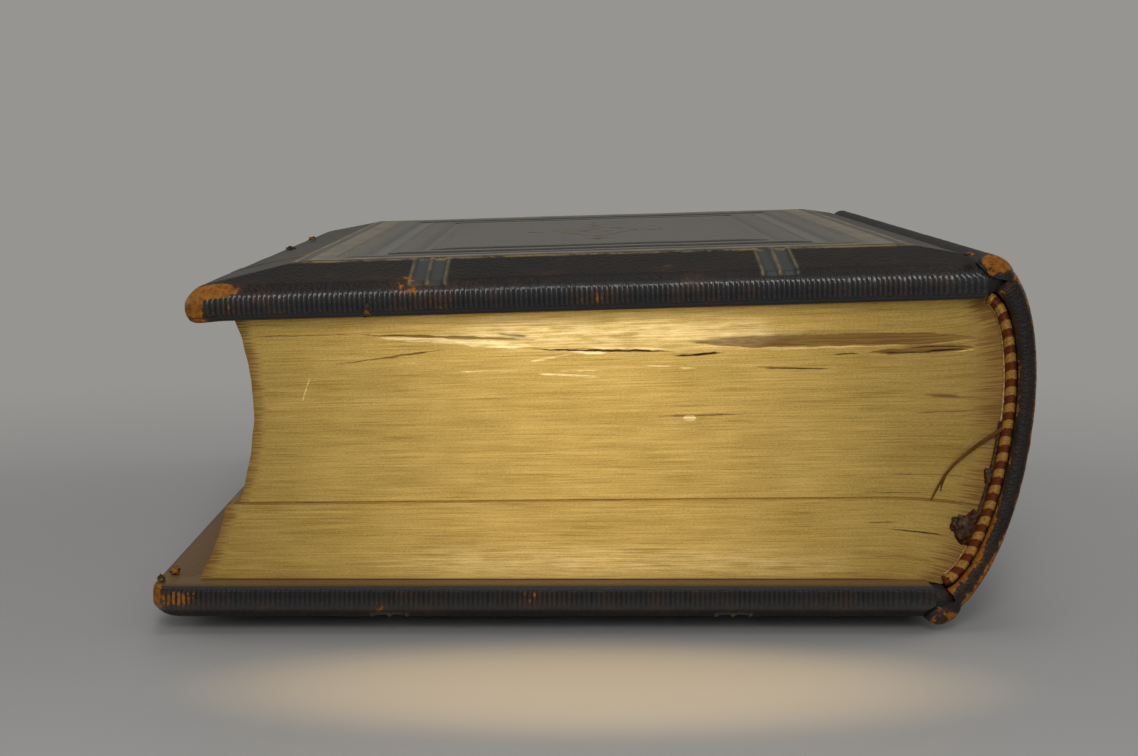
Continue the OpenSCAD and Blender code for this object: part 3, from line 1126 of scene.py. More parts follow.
        block.bend_grid(self.run_columns, self.leaf_rows, head)
        bm = block.bm
        pulled = bmesh.ops.extrude_face_region(bm, geom=bm.faces[:], use_keep_orig=True)["geom"]
        draw = random.Random(19)
        for vert in (item for item in pulled if isinstance(item, bmesh.types.BMVert)):
            lift = self.tail_cockle * uneven(5.0, vert.co.x / MM / 7, vert.co.z / MM, 9.0)
            lift += draw.gauss(0, self.tail_ragged)
            vert.co.y = (half_height - abs(lift)) * MM
            vert[block.layers["rub"]] *= self.tail_rub
        long_edges = [edge for edge in bm.edges if edge.calc_length() > half_height * MM]
        bmesh.ops.subdivide_edges(bm, edges=long_edges, cuts=self.depth_cuts, use_grid_fill=True)
        self.ruffle_fore_edge(block)
        bmesh.ops.recalc_face_normals(bm, faces=bm.faces[:])
        for face in bm.faces:
            outer = min(vert[block.layers["leaf"]] for vert in face.verts)
            inner = max(vert[block.layers["leaf"]] for vert in face.verts)
            is_outside = outer > self.back_thick - self.tolerance or inner < self.tolerance
            face.material_index = int(is_outside)
            if all(vert[block.layers["run"]] > self.leaf_width - self.tolerance for vert in face.verts):
                face.material_index = 2
        block.finish([GILT, ENDPAPER, MULL], "book_block", "gilt_leaves", ["text_block"], crease=38.0)

    def ruffle_fore_edge(self, block: Skin) -> None:
        """Sets the leaves of the fore-edge a little in and out of line.

        Args:
            block: The block's skin.
        """
        for vert in block.bm.verts:
            if vert[block.layers["run"]] > self.tolerance:
                continue
            leaf = vert[block.layers["leaf"]] / self.back_thick
            row = round(leaf * self.leaf_rows)
            y = vert.co.y / MM
            wave = self.fore_wave * uneven(30.0, y, leaf * 400)
            vert.co.x += max(self.row_offsets[(row * 3 + 5) % self.leaf_rows] + wave, -self.fore_wave) * MM


@dataclass(frozen=True)
class Column:
    """A line of points that runs over a cover's edge, from the inside to the panel."""

    side: Side
    share: float
    groove: float


@dataclass(frozen=True)
class Ring:
    """A ring of points round a cover: its inset from each edge, its height and its tooling."""

    head: float
    fore: float
    joint: float
    height: float
    rib: float = 0.0
    tool: float = 0.0
    gilt: float = 0.0
    wear: float = 0.0
    lining: float = 0.0
    polish: float = 0.0
    barred: bool = False


@dataclass
class Cover:
    """A leather-covered board with ribbed edges, mitred bevels, a tooled panel and a joint roll.

    It is drawn round the axis of its joint, with the fore-edge at -X and the outside at +Z, in millimetres.
    """

    kind: CoverKind
    joint: Vector
    tilt: float
    width: float = 207.5
    height: float = 262.0
    inner: float = -5.8
    panel: float = 7.6
    bevel_head: float = 24.0
    bevel_fore: float = 26.0
    bevel_joint: float = 14.5
    shoulder_run: float = 0.15
    shoulder_rise: float = 0.36
    corner: float = 4.0
    roll_radius: float = JOINT_RADIUS
    roll_length: float = 257.4
    roll_x: float = 2.893
    roll_z: float = 3.447
    turn_in: float = 17.0
    rib_pitch: float = 1.3
    rib_depth: float = 0.5
    columns_per_rib: int = 3
    joint_columns: int = 90
    end_columns: int = 16
    end_step: float = 0.9
    bar_x: Span = (-145.05, -53.85)
    bar_y: float = 75.0
    line_depth: float = 0.3
    bar_half: float = 5.2
    slack: float = 0.12
    corner_rub: float = 0.52
    corner_reach: Span = (26.0, 8.0)
    edge_rub: float = 0.42
    panel_polish: float = 0.35
    flat_polish: float = 0.15
    bar_polish: float = 0.2
    tip_reach: float = 9.0
    tip_droop: float = 0.5
    tip_swell: float = 0.8
    tongue: float = 0.85
    rubs: tuple[float, ...] = (-152.0, -139.0, -75.0)
    rub_wear: float = 0.13
    rub_reach: Span = (15.0, 4.0)
    heel: float = 2.3
    heel_ends: Span = (125.0, 126.5)

    def columns(self) -> list[Column]:
        """Lists the columns round the cover, some to each rib, starting at the head of the joint.

        Returns:
            The columns in order.
        """
        draw = random.Random(11)
        straight = self.width - self.roll_x - self.corner
        upright = self.height - 2 * self.corner
        lengths = {
            Side.HEAD: straight,
            Side.HEAD_CORNER: self.corner * math.pi / 2,
            Side.FORE: upright,
            Side.TAIL_CORNER: self.corner * math.pi / 2,
            Side.TAIL: straight,
        }
        found = []
        for side, length in lengths.items():
            ribs = round(length / self.rib_pitch)
            steps = ribs * self.columns_per_rib
            for rib in range(ribs):
                press = draw.uniform(0.75, 1.1)
                for k in range(self.columns_per_rib):
                    crest = abs(math.sin(math.pi * k / self.columns_per_rib))
                    share = (rib * self.columns_per_rib + k) / steps
                    found.append(Column(side, share, press * (1 - crest)))
        ends = [1 - self.end_step * k / self.height for k in range(self.end_columns)]
        middle = [mixed(ends[-1], -ends[-1], k / self.joint_columns) for k in range(1, self.joint_columns)]
        shares = (*ends, *middle, *(-share for share in ends[:0:-1]))
        return found + [Column(Side.JOINT, share, 0.0) for share in shares]

    def edge_rings(self) -> list[Ring]:
        """Lists the rings from the turned-in leather over the ribbed edge to the foot of the bevel.

        Returns:
            The rings, from the inside out.
        """
        low = self.inner
        rings = [
            Ring(self.turn_in, self.turn_in, 0.7, low + 0.75, lining=1.0),
            Ring(self.turn_in - 0.8, self.turn_in - 0.8, 0.5, low + 0.05, lining=1.0, tool=0.4),
            Ring(2.2, 2.2, 0.3, low, lining=0.9, tool=0.4),
            Ring(0.8, 0.8, 0.2, low + 0.14, lining=0.6, tool=0.5),
            Ring(0.2, 0.2, 0.0, low + 0.55, tool=0.5, wear=0.1),
            Ring(0.0, 0.0, 0.0, low + 1.1, tool=0.7),
            Ring(0.25, 0.25, 0.0, low + 1.3, tool=0.8),
        ]
        foot, top = low + 1.5, -0.5
        for share, rib in ((0.0, 0.5), (0.15, 1.0), (0.5, 1.0), (0.85, 1.0), (1.0, 0.95)):
            polish = 0.5 * eased(0.6, 1.0, share)
            rings.append(Ring(0, 0, 0, mixed(foot, top, share), rib=rib, tool=0.4, wear=0.1, polish=polish))
        rings.append(Ring(0.12, 0.12, 0.0, 0.0, rib=0.85, tool=0.4, wear=0.12, polish=0.7))
        return rings

    def bevel_rise(self, share: float) -> float:
        """Gives the rise of a bevel at a share of its width: a rounded shoulder, then a straight slope."""
        shoulder = 1 - (1 - min(share / self.shoulder_run, 1.0)) ** 2
        return self.shoulder_rise * shoulder + (1 - self.shoulder_rise) * share

    def bevel_share(self, rise: float) -> float:
        """Finds the share of a bevel's width at which it has risen so far.

        Args:
            rise: Share of the bevel's full rise.

        Returns:
            Share of its width.
        """
        low, high = 0.0, 1.0
        for _ in range(30):
            middle = (low + high) / 2
            low, high = (middle, high) if self.bevel_rise(middle) < rise else (low, middle)
        return low

    def bevel_rings(self) -> list[Ring]:
        """Lists the rings up the bevel, where the ribs run out over its shoulder.

        Returns:
            The rings, from the foot of the bevel up.
        """
        rings = []
        shares = (0.015, 0.03, 0.05, 0.07, 0.095, 0.12, 0.15, 0.2, 0.28, 0.4, 0.55, 0.7, 0.82, 0.9, 0.96)
        for share in shares:
            height = self.panel * self.bevel_rise(share)
            climbed = max(height - self.roll_z, 0) / (self.panel - self.roll_z)
            rings.append(Ring(
                self.bevel_head * share, self.bevel_fore * share,
                self.bevel_joint * self.bevel_share(climbed), height,
                rib=0.7 * eased(0.035, 0.0, share), tool=0.4 * eased(0.05, 0.0, share),
                wear=0.14 * eased(0.1, 0.0, share) + 0.2 * eased(0.86, 1.0, share), barred=share > 0.06,
                gilt=0.8 * eased(0.9, 0.96, share), polish=0.8 * eased(0.04, 0.01, share),
            ))
        return rings

    def panel_rings(self) -> list[Ring]:
        """Lists the rings of the panel: blind double lines, gilt lines and one wide smooth band.

        Returns:
            The rings, from the edge of the panel inwards.
        """

        def at(inset: float, sunk: float = 0.0, **marks: float) -> Ring:
            """Makes a ring at an inset from the edge of the panel.

            Args:
                inset: Distance in from the edge of the panel.
                sunk: How deep the ring lies, as a share of a line's depth.
                **marks: The ring's tooling, gilding and wear.

            Returns:
                The ring.
            """
            return Ring(
                self.bevel_head + inset, self.bevel_fore + inset, self.bevel_joint + inset,
                self.panel - sunk * self.line_depth, polish=self.panel_polish, **marks,
            )

        def line(inset: float, **marks: float) -> list[Ring]:
            """Makes the three rings of one pressed line."""
            return [at(inset - 0.35), at(inset, 1.0, **marks), at(inset + 0.35)]

        return [
            *line(0.4, tool=0.9, wear=0.1),
            *line(1.6, tool=0.9, wear=0.1),
            at(3.0, gilt=0.3, wear=0.2),
            at(8.0, gilt=0.15, wear=0.14),
            *line(9.8, gilt=0.9),
            *line(11.0, gilt=0.9),
            at(17.2),
            at(17.5, 0.9, tool=0.9),
            at(21.9, 0.9, tool=0.9),
            at(22.2),
            *line(23.4, gilt=0.6),
            at(31.0),
            at(31.3, 0.9, tool=0.9),
            at(33.0, 0.9, tool=0.9),
            at(33.3),
            at(42.0),
        ]

    def bar(self, offset: float) -> Point:
        """Gives the section across a pair of tooled bars.

        Args:
            offset: Distance from the middle of the pair.

        Returns:
            Its depth, its smoothness and its gilding.
        """
        away = abs(offset)
        if away > self.bar_half:
            return 0.0, 0.0, 0.0
        smooth = eased(0.3, 1.0, away) * eased(4.1, 3.4, away)
        light = eased(self.bar_half, 4.6, away) * eased(3.9, 4.5, away) + eased(0.8, 0.2, away)
        return self.line_depth * (1.2 * smooth - 0.6 * light), max(smooth, 0.9 * light), 0.3 * light

    def plan(self, column: Column, ring: Ring) -> Span:
        """Gives where a column crosses a ring, seen from above.

        Args:
            column: The column.
            ring: The ring.

        Returns:
            X and Y in the cover's own axes.
        """
        low_x, high_x = -self.width + ring.fore, -self.roll_x - ring.joint
        half_y = self.height / 2 - ring.head
        y = half_y * column.share if column.side == Side.JOINT else half_y
        high_x += self.heel_reach(y, ring)
        round_off = self.corner * max(1 - ring.head / self.bevel_head, 0.08)
        press = ring.rib * self.rib_depth * column.groove
        if column.side in (Side.HEAD_CORNER, Side.TAIL_CORNER):
            press *= 0.3
        if column.side in (Side.HEAD, Side.TAIL):
            share = column.share if column.side == Side.HEAD else 1 - column.share
            sign = -1 if column.side == Side.HEAD else 1
            edge = (self.corner - self.width, -self.roll_x)
            x = squeezed(mixed(edge[1], edge[0], share), edge, (low_x + round_off, high_x))
            return x, sign * (half_y - press)
        if column.side == Side.FORE:
            end, ring_end = self.height / 2 - self.corner, half_y - round_off
            y = squeezed(mixed(-end, end, column.share), (-end, end), (-ring_end, ring_end))
            return low_x + press, y
        if column.side == Side.JOINT:
            return high_x, y
        sign = -1 if column.side == Side.HEAD_CORNER else 1
        share = column.share if sign < 0 else 1 - column.share
        turn = math.pi / 2 * share
        reach = round_off - press
        x = low_x + round_off - reach * math.sin(turn)
        return x, sign * (half_y - round_off + reach * math.cos(turn))

    def heel_reach(self, y: float, ring: Ring) -> float:
        """Gives how far the edge reaches past the end of the roll, at the head and the tail."""
        rounded = mixed(0.4, 1.0, eased(-5.8, -4.2, ring.height)) * eased(1.5, -0.5, ring.height)
        return self.heel * eased(*self.heel_ends, abs(y)) * rounded

    def tip_share(self, x: float, y: float) -> float:
        """Tells how much a place belongs to a worn fore-edge corner."""
        away = math.hypot(x + self.width, self.height / 2 - abs(y))
        return max(1 - away / self.tip_reach, 0.0)

    def wear_at(self, x: float, y: float, ring: Ring) -> float:
        """Gives the wear of a place: most at the corners, some on edges and along the joint.

        Args:
            x: Place across the cover.
            y: Place along it.
            ring: The ring at that place.

        Returns:
            Wear from 0 up, with bare leather at about 1.
        """
        end, fore = self.height / 2 - abs(y), x + self.width
        tip = 1.2 * self.tip_share(x, y)
        foot = eased(-0.5, 0.5, ring.height) * eased(9.0, 5.0, ring.height)
        tongue = self.tongue * eased(19.0, 8.0, max(end, fore)) * eased(7.0, 2.0, min(end, fore)) * foot
        cluster = 0.24 * max(uneven(13.0, x, y, 2.0) - 0.1, 0.0) * eased(-1.5, 0.5, ring.height)
        spot = max(eased(*self.rub_reach, abs(x - rub)) for rub in self.rubs) * eased(-118.0, -122.0, y)
        rub = self.rub_wear * spot * eased(0.0, 1.5, ring.height) * eased(7.4, 5.5, ring.height)
        return max(ring.wear + 0.1 * uneven(22.0, x, y) + cluster + rub, tip, tongue, 0.0)

    def build(self) -> None:
        """Lofts the leather over the board, adds the roll and puts the cover on its joint."""
        name = self.kind.value
        cover = Skin(f"{name}_cover_leather", LEATHER_MARKS)
        columns = self.columns()
        rings = self.edge_rings() + self.bevel_rings() + self.panel_rings()

        def skin(i: int, j: int) -> tuple[Vector, Marks]:
            """Puts a point of the leather on its column and ring.

            Args:
                i: Number of the column.
                j: Number of the ring.

            Returns:
                The point in millimetres and its marks.
            """
            column, ring = columns[i % len(columns)], rings[j]
            x, y = self.plan(column, ring)
            depth = tool = gilt = 0.0
            if ring.barred and column.side in (Side.HEAD, Side.TAIL):
                depth, tool, gilt = self.bar(min((x - bar for bar in self.bar_x), key=abs))
            elif ring.barred and column.side == Side.FORE:
                depth, tool, gilt = self.bar(abs(y) - self.bar_y)
            slack = self.slack * uneven(26.0, x, y, 4.0) * eased(0.0, 3.0, ring.height)
            tip = self.tip_share(x, y)
            along = x if column.side in (Side.HEAD, Side.TAIL) else y
            ends = (x + self.width, self.height / 2 - abs(y))
            near = self.corner_rub * math.prod(eased(*self.corner_reach, end) for end in ends)
            rubbed = max(near, self.edge_rub * eased(0.1, 0.5, uneven(17.0, along, 7.0)))
            crest = rubbed * (1 - column.groove) * eased(0.4, 1.0, ring.rib)
            is_flat = ring.barred and column.side in (Side.FORE, Side.JOINT)
            flat = self.flat_polish * eased(2.0, 4.5, ring.height) if is_flat else 0.0
            marks = {
                "wear": max(self.wear_at(x, y, ring), crest),
                "tool": max(ring.tool, tool) * (1 - tip),
                "gilt": max(ring.gilt, gilt),
                "lining": ring.lining,
                "polish": max(ring.polish, self.bar_polish * tool, flat),
            }
            belly = 1 - 2.4 * (min(ring.height + 2.4, 0.0) / 3.4) ** 2
            swell = self.tip_swell * tip * belly * (1 + 0.4 * uneven(3.0, x, y, ring.height))
            outward = Vector((-swell, math.copysign(swell, y), -self.tip_droop * tip))
            return Vector((x, y, ring.height - depth + slack)) + outward, marks

        cover.bend_grid(len(columns), len(rings) - 1, skin)
        cover.weld()
        self.add_roll(cover)
        cover.weld()
        cover.move(self.placement())
        bmesh.ops.recalc_face_normals(cover.bm, faces=cover.bm.faces[:])
        cover.finish([MOROCCO], f"{name}_cover", "morocco", [f"{name}_leather"])
        for node, finish in ((f"{name}_board", MILLBOARD), (f"{name}_pastedown", ENDPAPER)):
            dress(node, finish)

    def add_roll(self, cover: Skin, around: int = 28, along: int = 150) -> None:
        """Adds the roll of leather along the joint, rounded off at both ends.

        Args:
            cover: The cover's skin.
            around: Number of steps round the roll.
            along: Number of steps along it.
        """
        half, cap = self.roll_length / 2, self.roll_radius * 0.3

        def place(i: int, j: int) -> tuple[Vector, Marks]:
            """Puts a point on the roll.

            Args:
                i: Step round the roll.
                j: Step along it.

            Returns:
                The point in millimetres and its marks.
            """
            step = min(j, along - j)
            end = (0.0, 0.1 * cap, 0.4 * cap, cap)[min(step, 3)]
            if step > 3:
                end = mixed(cap, half, (step - 3) / (along / 2 - 3))
            y = math.copysign(half - end, j - along / 2)
            past = max(1 - end / cap, 0.0)
            radius = self.roll_radius * mixed(1.0, 0.55, past * past)
            radius *= 1 + 0.012 * uneven(18.0, y, i * 0.9)
            turn = 2 * math.pi * i / around
            wear = 0.15 + 0.12 * uneven(25.0, y) + 0.3 * eased(6.0, 0.0, end) * uneven(2.5, i * 0.8, y)
            point = Vector((radius * math.cos(turn), y, radius * math.sin(turn)))
            return point, {"wear": wear, "tool": 0.2}

        cover.bend_grid(around, along, place)

    def placement(self) -> Matrix:
        """Gives the move from the cover's own axes to its joint.

        Returns:
            The move in metres.
        """
        at_joint = Matrix.Translation(self.joint * MM)
        if self.kind == CoverKind.BACK:
            return at_joint @ Matrix.Scale(-1, 4, Vector((0, 0, 1)))
        return at_joint @ Matrix.Rotation(-self.tilt, 4, "Y")


@dataclass
class JointStrip:
    """Leather that runs from a cover over the roll of its joint to the spine, in millimetres."""

    kind: CoverKind
    joint: Vector
    length: float = 260.4
    inside: float = 4.56
    angles: Span = (134.0, -12.0)
    steps: int = 20
    rows: int = 180
    end_fold: float = 1.35
    end_rows: tuple[Span, ...] = (
        (0.3, 0.1), (0.12, 0.3), (0.0, 0.5), (0.05, 0.68), (0.3, 0.81), (0.7, 0.9), (1.3, 0.955),
        (1.4, 0.96), (2.2, 0.99), (3.2, 1.0),
    )
    bared: float = 0.8
    cover_radius: float = 4.9
    ridge_rise: float = 0.8
    spine_rise: float = 1.2

    @property
    def outward(self) -> int:
        """Direction along Z in which the strip's cover faces."""
        return 1 if self.kind == CoverKind.FRONT else -1

    def at(self, share: float, radius: float, y: float) -> Vector:
        """Gives a point at a share of the way from the cover to the spine."""
        turn = math.radians(mixed(*self.angles, share))
        return self.joint + Vector((radius * math.cos(turn), y, self.outward * radius * math.sin(turn)))

    def outside(self, share: float, y: float) -> float:
        """Gives the radius of the outside, which swells from the cover's groove to the spine."""
        ridge = self.cover_radius + self.ridge_rise * eased(0.0, 0.4, share)
        return ridge + self.spine_rise * eased(0.4, 1.0, share) + 0.1 * uneven(7.0, y, share * 12)

    def wear_at(self, share: float, end: float, reach: float) -> float:
        """Gives the wear of a place: a rubbed ridge, and a bared lobe at each end.

        Args:
            share: Share of the way from the cover to the spine.
            end: Distance from the strip's end.
            reach: Share of the full radius that the strip has there.

        Returns:
            Wear from 0 up, with bare leather at about 1.
        """
        ridge = 0.24 * eased(0.15, 0.45, share) * eased(0.95, 0.7, share)
        lobe = eased(6.0, 1.0, end) * eased(0.0, 0.15, share) * eased(0.95, 0.65, share)
        spots = 0.25 * uneven(2.5, share * 14, end, reach * 5)
        lobe *= mixed(0.5, self.bared, eased(1.0, 0.85, reach)) + spots
        return max(ridge + 0.12 * uneven(18.0, end, share * 8), lobe)

    def build(self) -> None:
        """Lofts the strip along the joint and bends it between the cover and the block."""
        strip = Skin(f"{self.kind.value}_joint_leather", LEATHER_MARKS)
        half = self.length / 2

        def place(i: int, j: int) -> tuple[Vector, Marks]:
            """Puts a point on the strip's closed section.

            Args:
                i: Step round the section.
                j: Row along the strip.

            Returns:
                The point in millimetres and its marks.
            """
            k = i % (2 * self.steps)
            is_outer = k <= self.steps
            share = k / self.steps if is_outer else (2 * self.steps - k) / self.steps
            step = min(j, self.rows - j)
            last = len(self.end_rows) - 1
            end, reach = self.end_rows[min(step, last)]
            if step > last:
                end = mixed(end, half, (step - last) / (self.rows / 2 - last))
            y = math.copysign(half - end, j - self.rows / 2)
            radius = self.outside(share, y) * reach
            if not is_outer:
                radius = self.inside if end > self.end_fold else min(0.6, 0.6 * radius)
            return self.at(share, radius, y), {"wear": self.wear_at(share, end, reach), "tool": 0.15}

        strip.bend_grid(2 * self.steps, self.rows, place)
        strip.weld()
        piece = strip.finish([MOROCCO], None, "morocco")
        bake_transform(piece)


def dress(node: str, finish: Finish) -> None:
    """Gives a node that keeps its own shape a finish.

    Args:
        node: The node's name.
        finish: What it is made of.
    """
    mesh = frame["nodes"][node].data
    mesh.materials.clear()
    mesh.materials.append(finish.material())
    LOG.info("%s: dressed in %s", node, finish.name)


@dataclass
class Spine:
    """Rounded leather spine with raised bands and folded headcaps, in millimetres."""

    back: Back
    cover_height: float
    half: float = 48.0
    bulge: float = 18.1
    height: float = 259.0
    leather: float = 1.15
    cap: float = 2.6
    cap_inside: Span = (40.3, 13.3)
    bands: int = 5
    band_rise: float = 1.8
    band_width: float = 7.0
    band_fade: Span = (18.0, 30.0)
    line_offsets: Span = (6.2, 7.6)
    line_half: float = 0.4
    line_depth: float = 0.25
    row_step: float = 1.6
    band_step: float = 0.5
    turns: int = 110
    fold: tuple[Point, ...] = (
        (0.02, 1.9, 0.42), (0.07, 1.0, 0.6), (0.14, 0.4, 0.5), (0.24, 0.1, 0.22), (0.4, 0.0, 0.06),
        (0.6, 0.0, 0.06), (0.8, 0.15, 0.12), (0.94, 0.6, 0.3), (1.0, 1.5, 0.4), (1.0, 2.6, 0.2),
    )

    def band_places(self) -> list[float]:
        """Lists where the raised bands lie along the spine."""
        pitch = self.cover_height / (self.bands + 1)
        return [(i - (self.bands - 1) / 2) * pitch for i in range(self.bands)]

    def outer_rows(self) -> list[float]:
        """Lists the rows along the outside, close together on the bands and the pressed lines.

        Returns:
            Places along Y, in order.
        """
        reach = self.height / 2 - self.cap
        steps = int(2 * reach / self.row_step)
        rows = {round(-reach + self.row_step * i, 3) for i in range(steps + 1)} | {reach}
        for middle in self.band_places():
            rows |= {round(middle + self.band_step * i, 3) for i in range(-9, 10)}
            for offset in self.line_offsets:
                for line in (middle - offset, middle + offset):
                    rows |= {round(line + self.line_half * step, 3) for step in (-1, 0, 1)}
        return sorted(row for row in rows if abs(row) <= reach)

    def outside(self, y: float, turn: float) -> Span:
        """Gives how high the outside lies at a place, and how smooth it is there.

        Args:
            y: Place along the spine.
            turn: Turn round the back in degrees.

        Returns:
            Its rise, and its smoothness from 0 to 1.
        """
        rise = tool = 0.0
        fade = eased(*self.band_fade, min(turn, 180 - turn))
        for middle in self.band_places():
            off = abs(y - middle) / (self.band_width / 2)
            if off < 1:
                rise += self.band_rise * fade * math.cos(math.pi / 2 * off) ** 0.8
            if any(abs(abs(y - middle) - offset) < 0.1 for offset in self.line_offsets):
                rise -= self.line_depth
                tool = 0.9
        return rise + 0.12 * uneven(20.0, y, turn * 0.8), tool

    def build(self) -> None:
        """Lofts the spine from one closed section that goes round both headcaps."""
        spine = Skin("spine_cover_leather", LEATHER_MARKS)
        end = self.height / 2
        fold = [(depth, end - below, wear) for depth, below, wear in self.fold]
        lining = self.leather / (self.bulge - self.cap_inside[1])
        section: list[tuple[float | None, float, float]] = [(None, y, 0.0) for y in self.outer_rows()]
        section += fold
        inside = end - self.cap - 0.6
        section += [(lining, inside * share, 0.0) for share in (1.0, 0.6, 0.2, -0.2, -0.6, -1.0)]
        section += [(depth, -y, wear) for depth, y, wear in reversed(fold)]
        spans: dict[float, tuple[float, float]] = {}

        def place(i: int, j: int) -> tuple[Vector, Marks]:
            """Puts a point on the section at a turn of the spine.

            Args:
                i: Step round the back.
                j: Number of the point in the section.

            Returns:
                The point in millimetres and its marks.
            """
            depth, y, wear = section[j % len(section)]
            layer = depth or 0.0
            half = mixed(self.half, self.cap_inside[0], layer)
            bulge = mixed(self.bulge, self.cap_inside[1], layer)
            if layer not in spans:
                spans[layer] = self.back.span(half, bulge)
            share = i / self.turns
            turn = mixed(*spans[layer], share)
            if depth is None:
                rise, tool = self.outside(y, turn)
                wear = self.wear_at(y, share, rise)
            else:
                rise, tool = 0.15 * uneven(4.0, share * 130, y) * (1 - layer), 0.0
                wear = self.cap_wear(wear, share, layer)
            x, z = self.back.point(half + rise, bulge + rise, turn)
            polish = 0.25 + 0.4 * eased(0.3, 1.5, rise) if depth is None else 0.0
            return Vector((x, y, z)), {"wear": wear, "tool": tool, "polish": polish}

        spine.bend_grid(self.turns, len(section), place)
        spine.weld()
        spine.finish([MOROCCO], "book_block", "morocco", ["spine_leather"])
        for node, finish in (("spine_card", CARD), ("spine_mull", MULL), ("sewing_cords", HEMP)):
            dress(node, finish)

    def wear_at(self, y: float, share: float, rise: float) -> float:
        """Gives the wear of a place: headcaps most, then the bands and the edges beside the joints.

        Args:
            y: Place along the spine.
            share: Share of the way round, from the front joint to the back one.
            rise: How high the outside lies there.

        Returns:
            Wear from 0 up, with bare leather at about 1.
        """
        end = max(self.height / 2 - abs(y), 0.0)
        cap = max(0.6 - end / 8, 0.0)
        low = 0.35 * eased(0.72, 0.95, share) * eased(20.0, 0.0, end)
        side = 0.28 * max(eased(0.06, 0.0, share), eased(0.94, 1.0, share))
        crest = 0.3 * eased(0.8, 1.7, rise)
        return max(cap + low, side, crest) + 0.08 * uneven(16.0, y, share * 130)

    def cap_wear(self, wear: float, share: float, layer: float) -> float:
        """Gives the wear of a headcap: a bared rim, which widens into patches near the back joint.

        Args:
            wear: Wear of the fold at its place in the section.
            share: Share of the way round, from the front joint to the back one.
            layer: Share of the way from the outside to the inside of the headcap.

        Returns:
            Wear from 0 up, with bare leather at about 1.
        """
        start = 0.35 * eased(0.1, 0.0, share)
        low = 0.42 * eased(0.66, 0.86, share) * eased(0.8, 0.25, layer)
        side = 0.3 * eased(0.5, 0.75, share) * eased(0.6, 0.9, layer)
        return wear * mixed(0.55, 1.0, eased(0.04, 0.2, share)) + max(start, low, side) * 0.9


@dataclass
class Endband:
    """Silk-wound bead that closes the gap between the leaves and the spine, in millimetres."""

    block: TextBlock
    end: BookEnd
    half_width: float = 1.45
    half_height: float = 2.0
    inset: float = 0.6
    start: float = 7.0
    turns: int = 420
    around: int = 14
    sit: float = 0.7
    ridge: float = 0.05
    slant: float = 1.1

    @property
    def leaf_end(self) -> float:
        """Distance from the middle of the book to the ends of the leaves."""
        return self.block.height / 2

    def along(self, inset: float, turn: float) -> Span:
        """Gives the X and Z of a place so far inside the back of the leaves."""
        return self.block.back.point(self.block.half - inset, self.block.bulge - inset, turn)

    def build(self) -> None:
        """Winds the bead along the curve of the back and lays a pale thread at its foot."""
        bead = Skin(f"{self.end.name.lower()}_endband_silk", ("wound",))
        angles = [mixed(self.start, 180 - self.start, i / self.turns) for i in range(self.turns + 1)]
        path = [Vector(self.along(self.inset, angle)) for angle in angles]
        lengths = run_lengths(path)
        middle_y = self.leaf_end + self.half_height * self.sit

        def place(i: int, j: int) -> tuple[Vector, Marks]:
            """Puts a point on the wound bead.

            Args:
                i: Step round the bead.
                j: Step along it.

            Returns:
                The point in millimetres and its marks.
            """
            turn = 2 * math.pi * i / self.around
            run = (path[min(j + 1, self.turns)] - path[max(j - 1, 0)]).normalized()
            ridge = 1 + self.ridge * math.sin(2 * math.pi * lengths[j] / SILK.thread)
            out = self.half_width * ridge * math.cos(turn)
            y = self.end.value * (middle_y + self.half_height * ridge * math.sin(turn))
            point = Vector((path[j].x - run.y * out, y, path[j].y + run.x * out))
            return point, {"wound": lengths[j] + self.slant * math.sin(turn)}

        bead.bend_grid(self.around, self.turns, place)
        bead.weld()
        node = f"{self.end.name.lower()}_endband"
        bead.finish([SILK], "book_block", "endband_silk", [node], crease=ROUND_CREASE)
        self.lay_thread()

    def lay_thread(self, knots: int = 46) -> None:
        """Lays the pale linking thread along the foot of the bead, with a swelling at each knot.

        Args:
            knots: Number of knots along the thread.
        """
        thread = Skin(f"{self.end.name.lower()}_endband_thread")
        inset = self.inset + self.half_width + 0.1
        points = []
        for i in range(self.turns + 1):
            turn = mixed(self.start + 1, 179 - self.start, i / self.turns)
            x, z = self.along(inset, turn)
            y = self.leaf_end + 0.25 + 0.15 * uneven(0.7, x, z)
            points.append(Vector((x, self.end.value * y, z)))

        def thick(share: float) -> float:
            """Gives half the thread's thickness."""
            return 0.2 + 0.18 * abs(math.sin(math.pi * knots * share)) ** 3

        thread.sweep(points, Vector((0, 1, 0)), thick, thick, around=6)
        thread.weld()
        thread.finish([THREAD], "book_block", "endband_silk", crease=ROUND_CREASE)


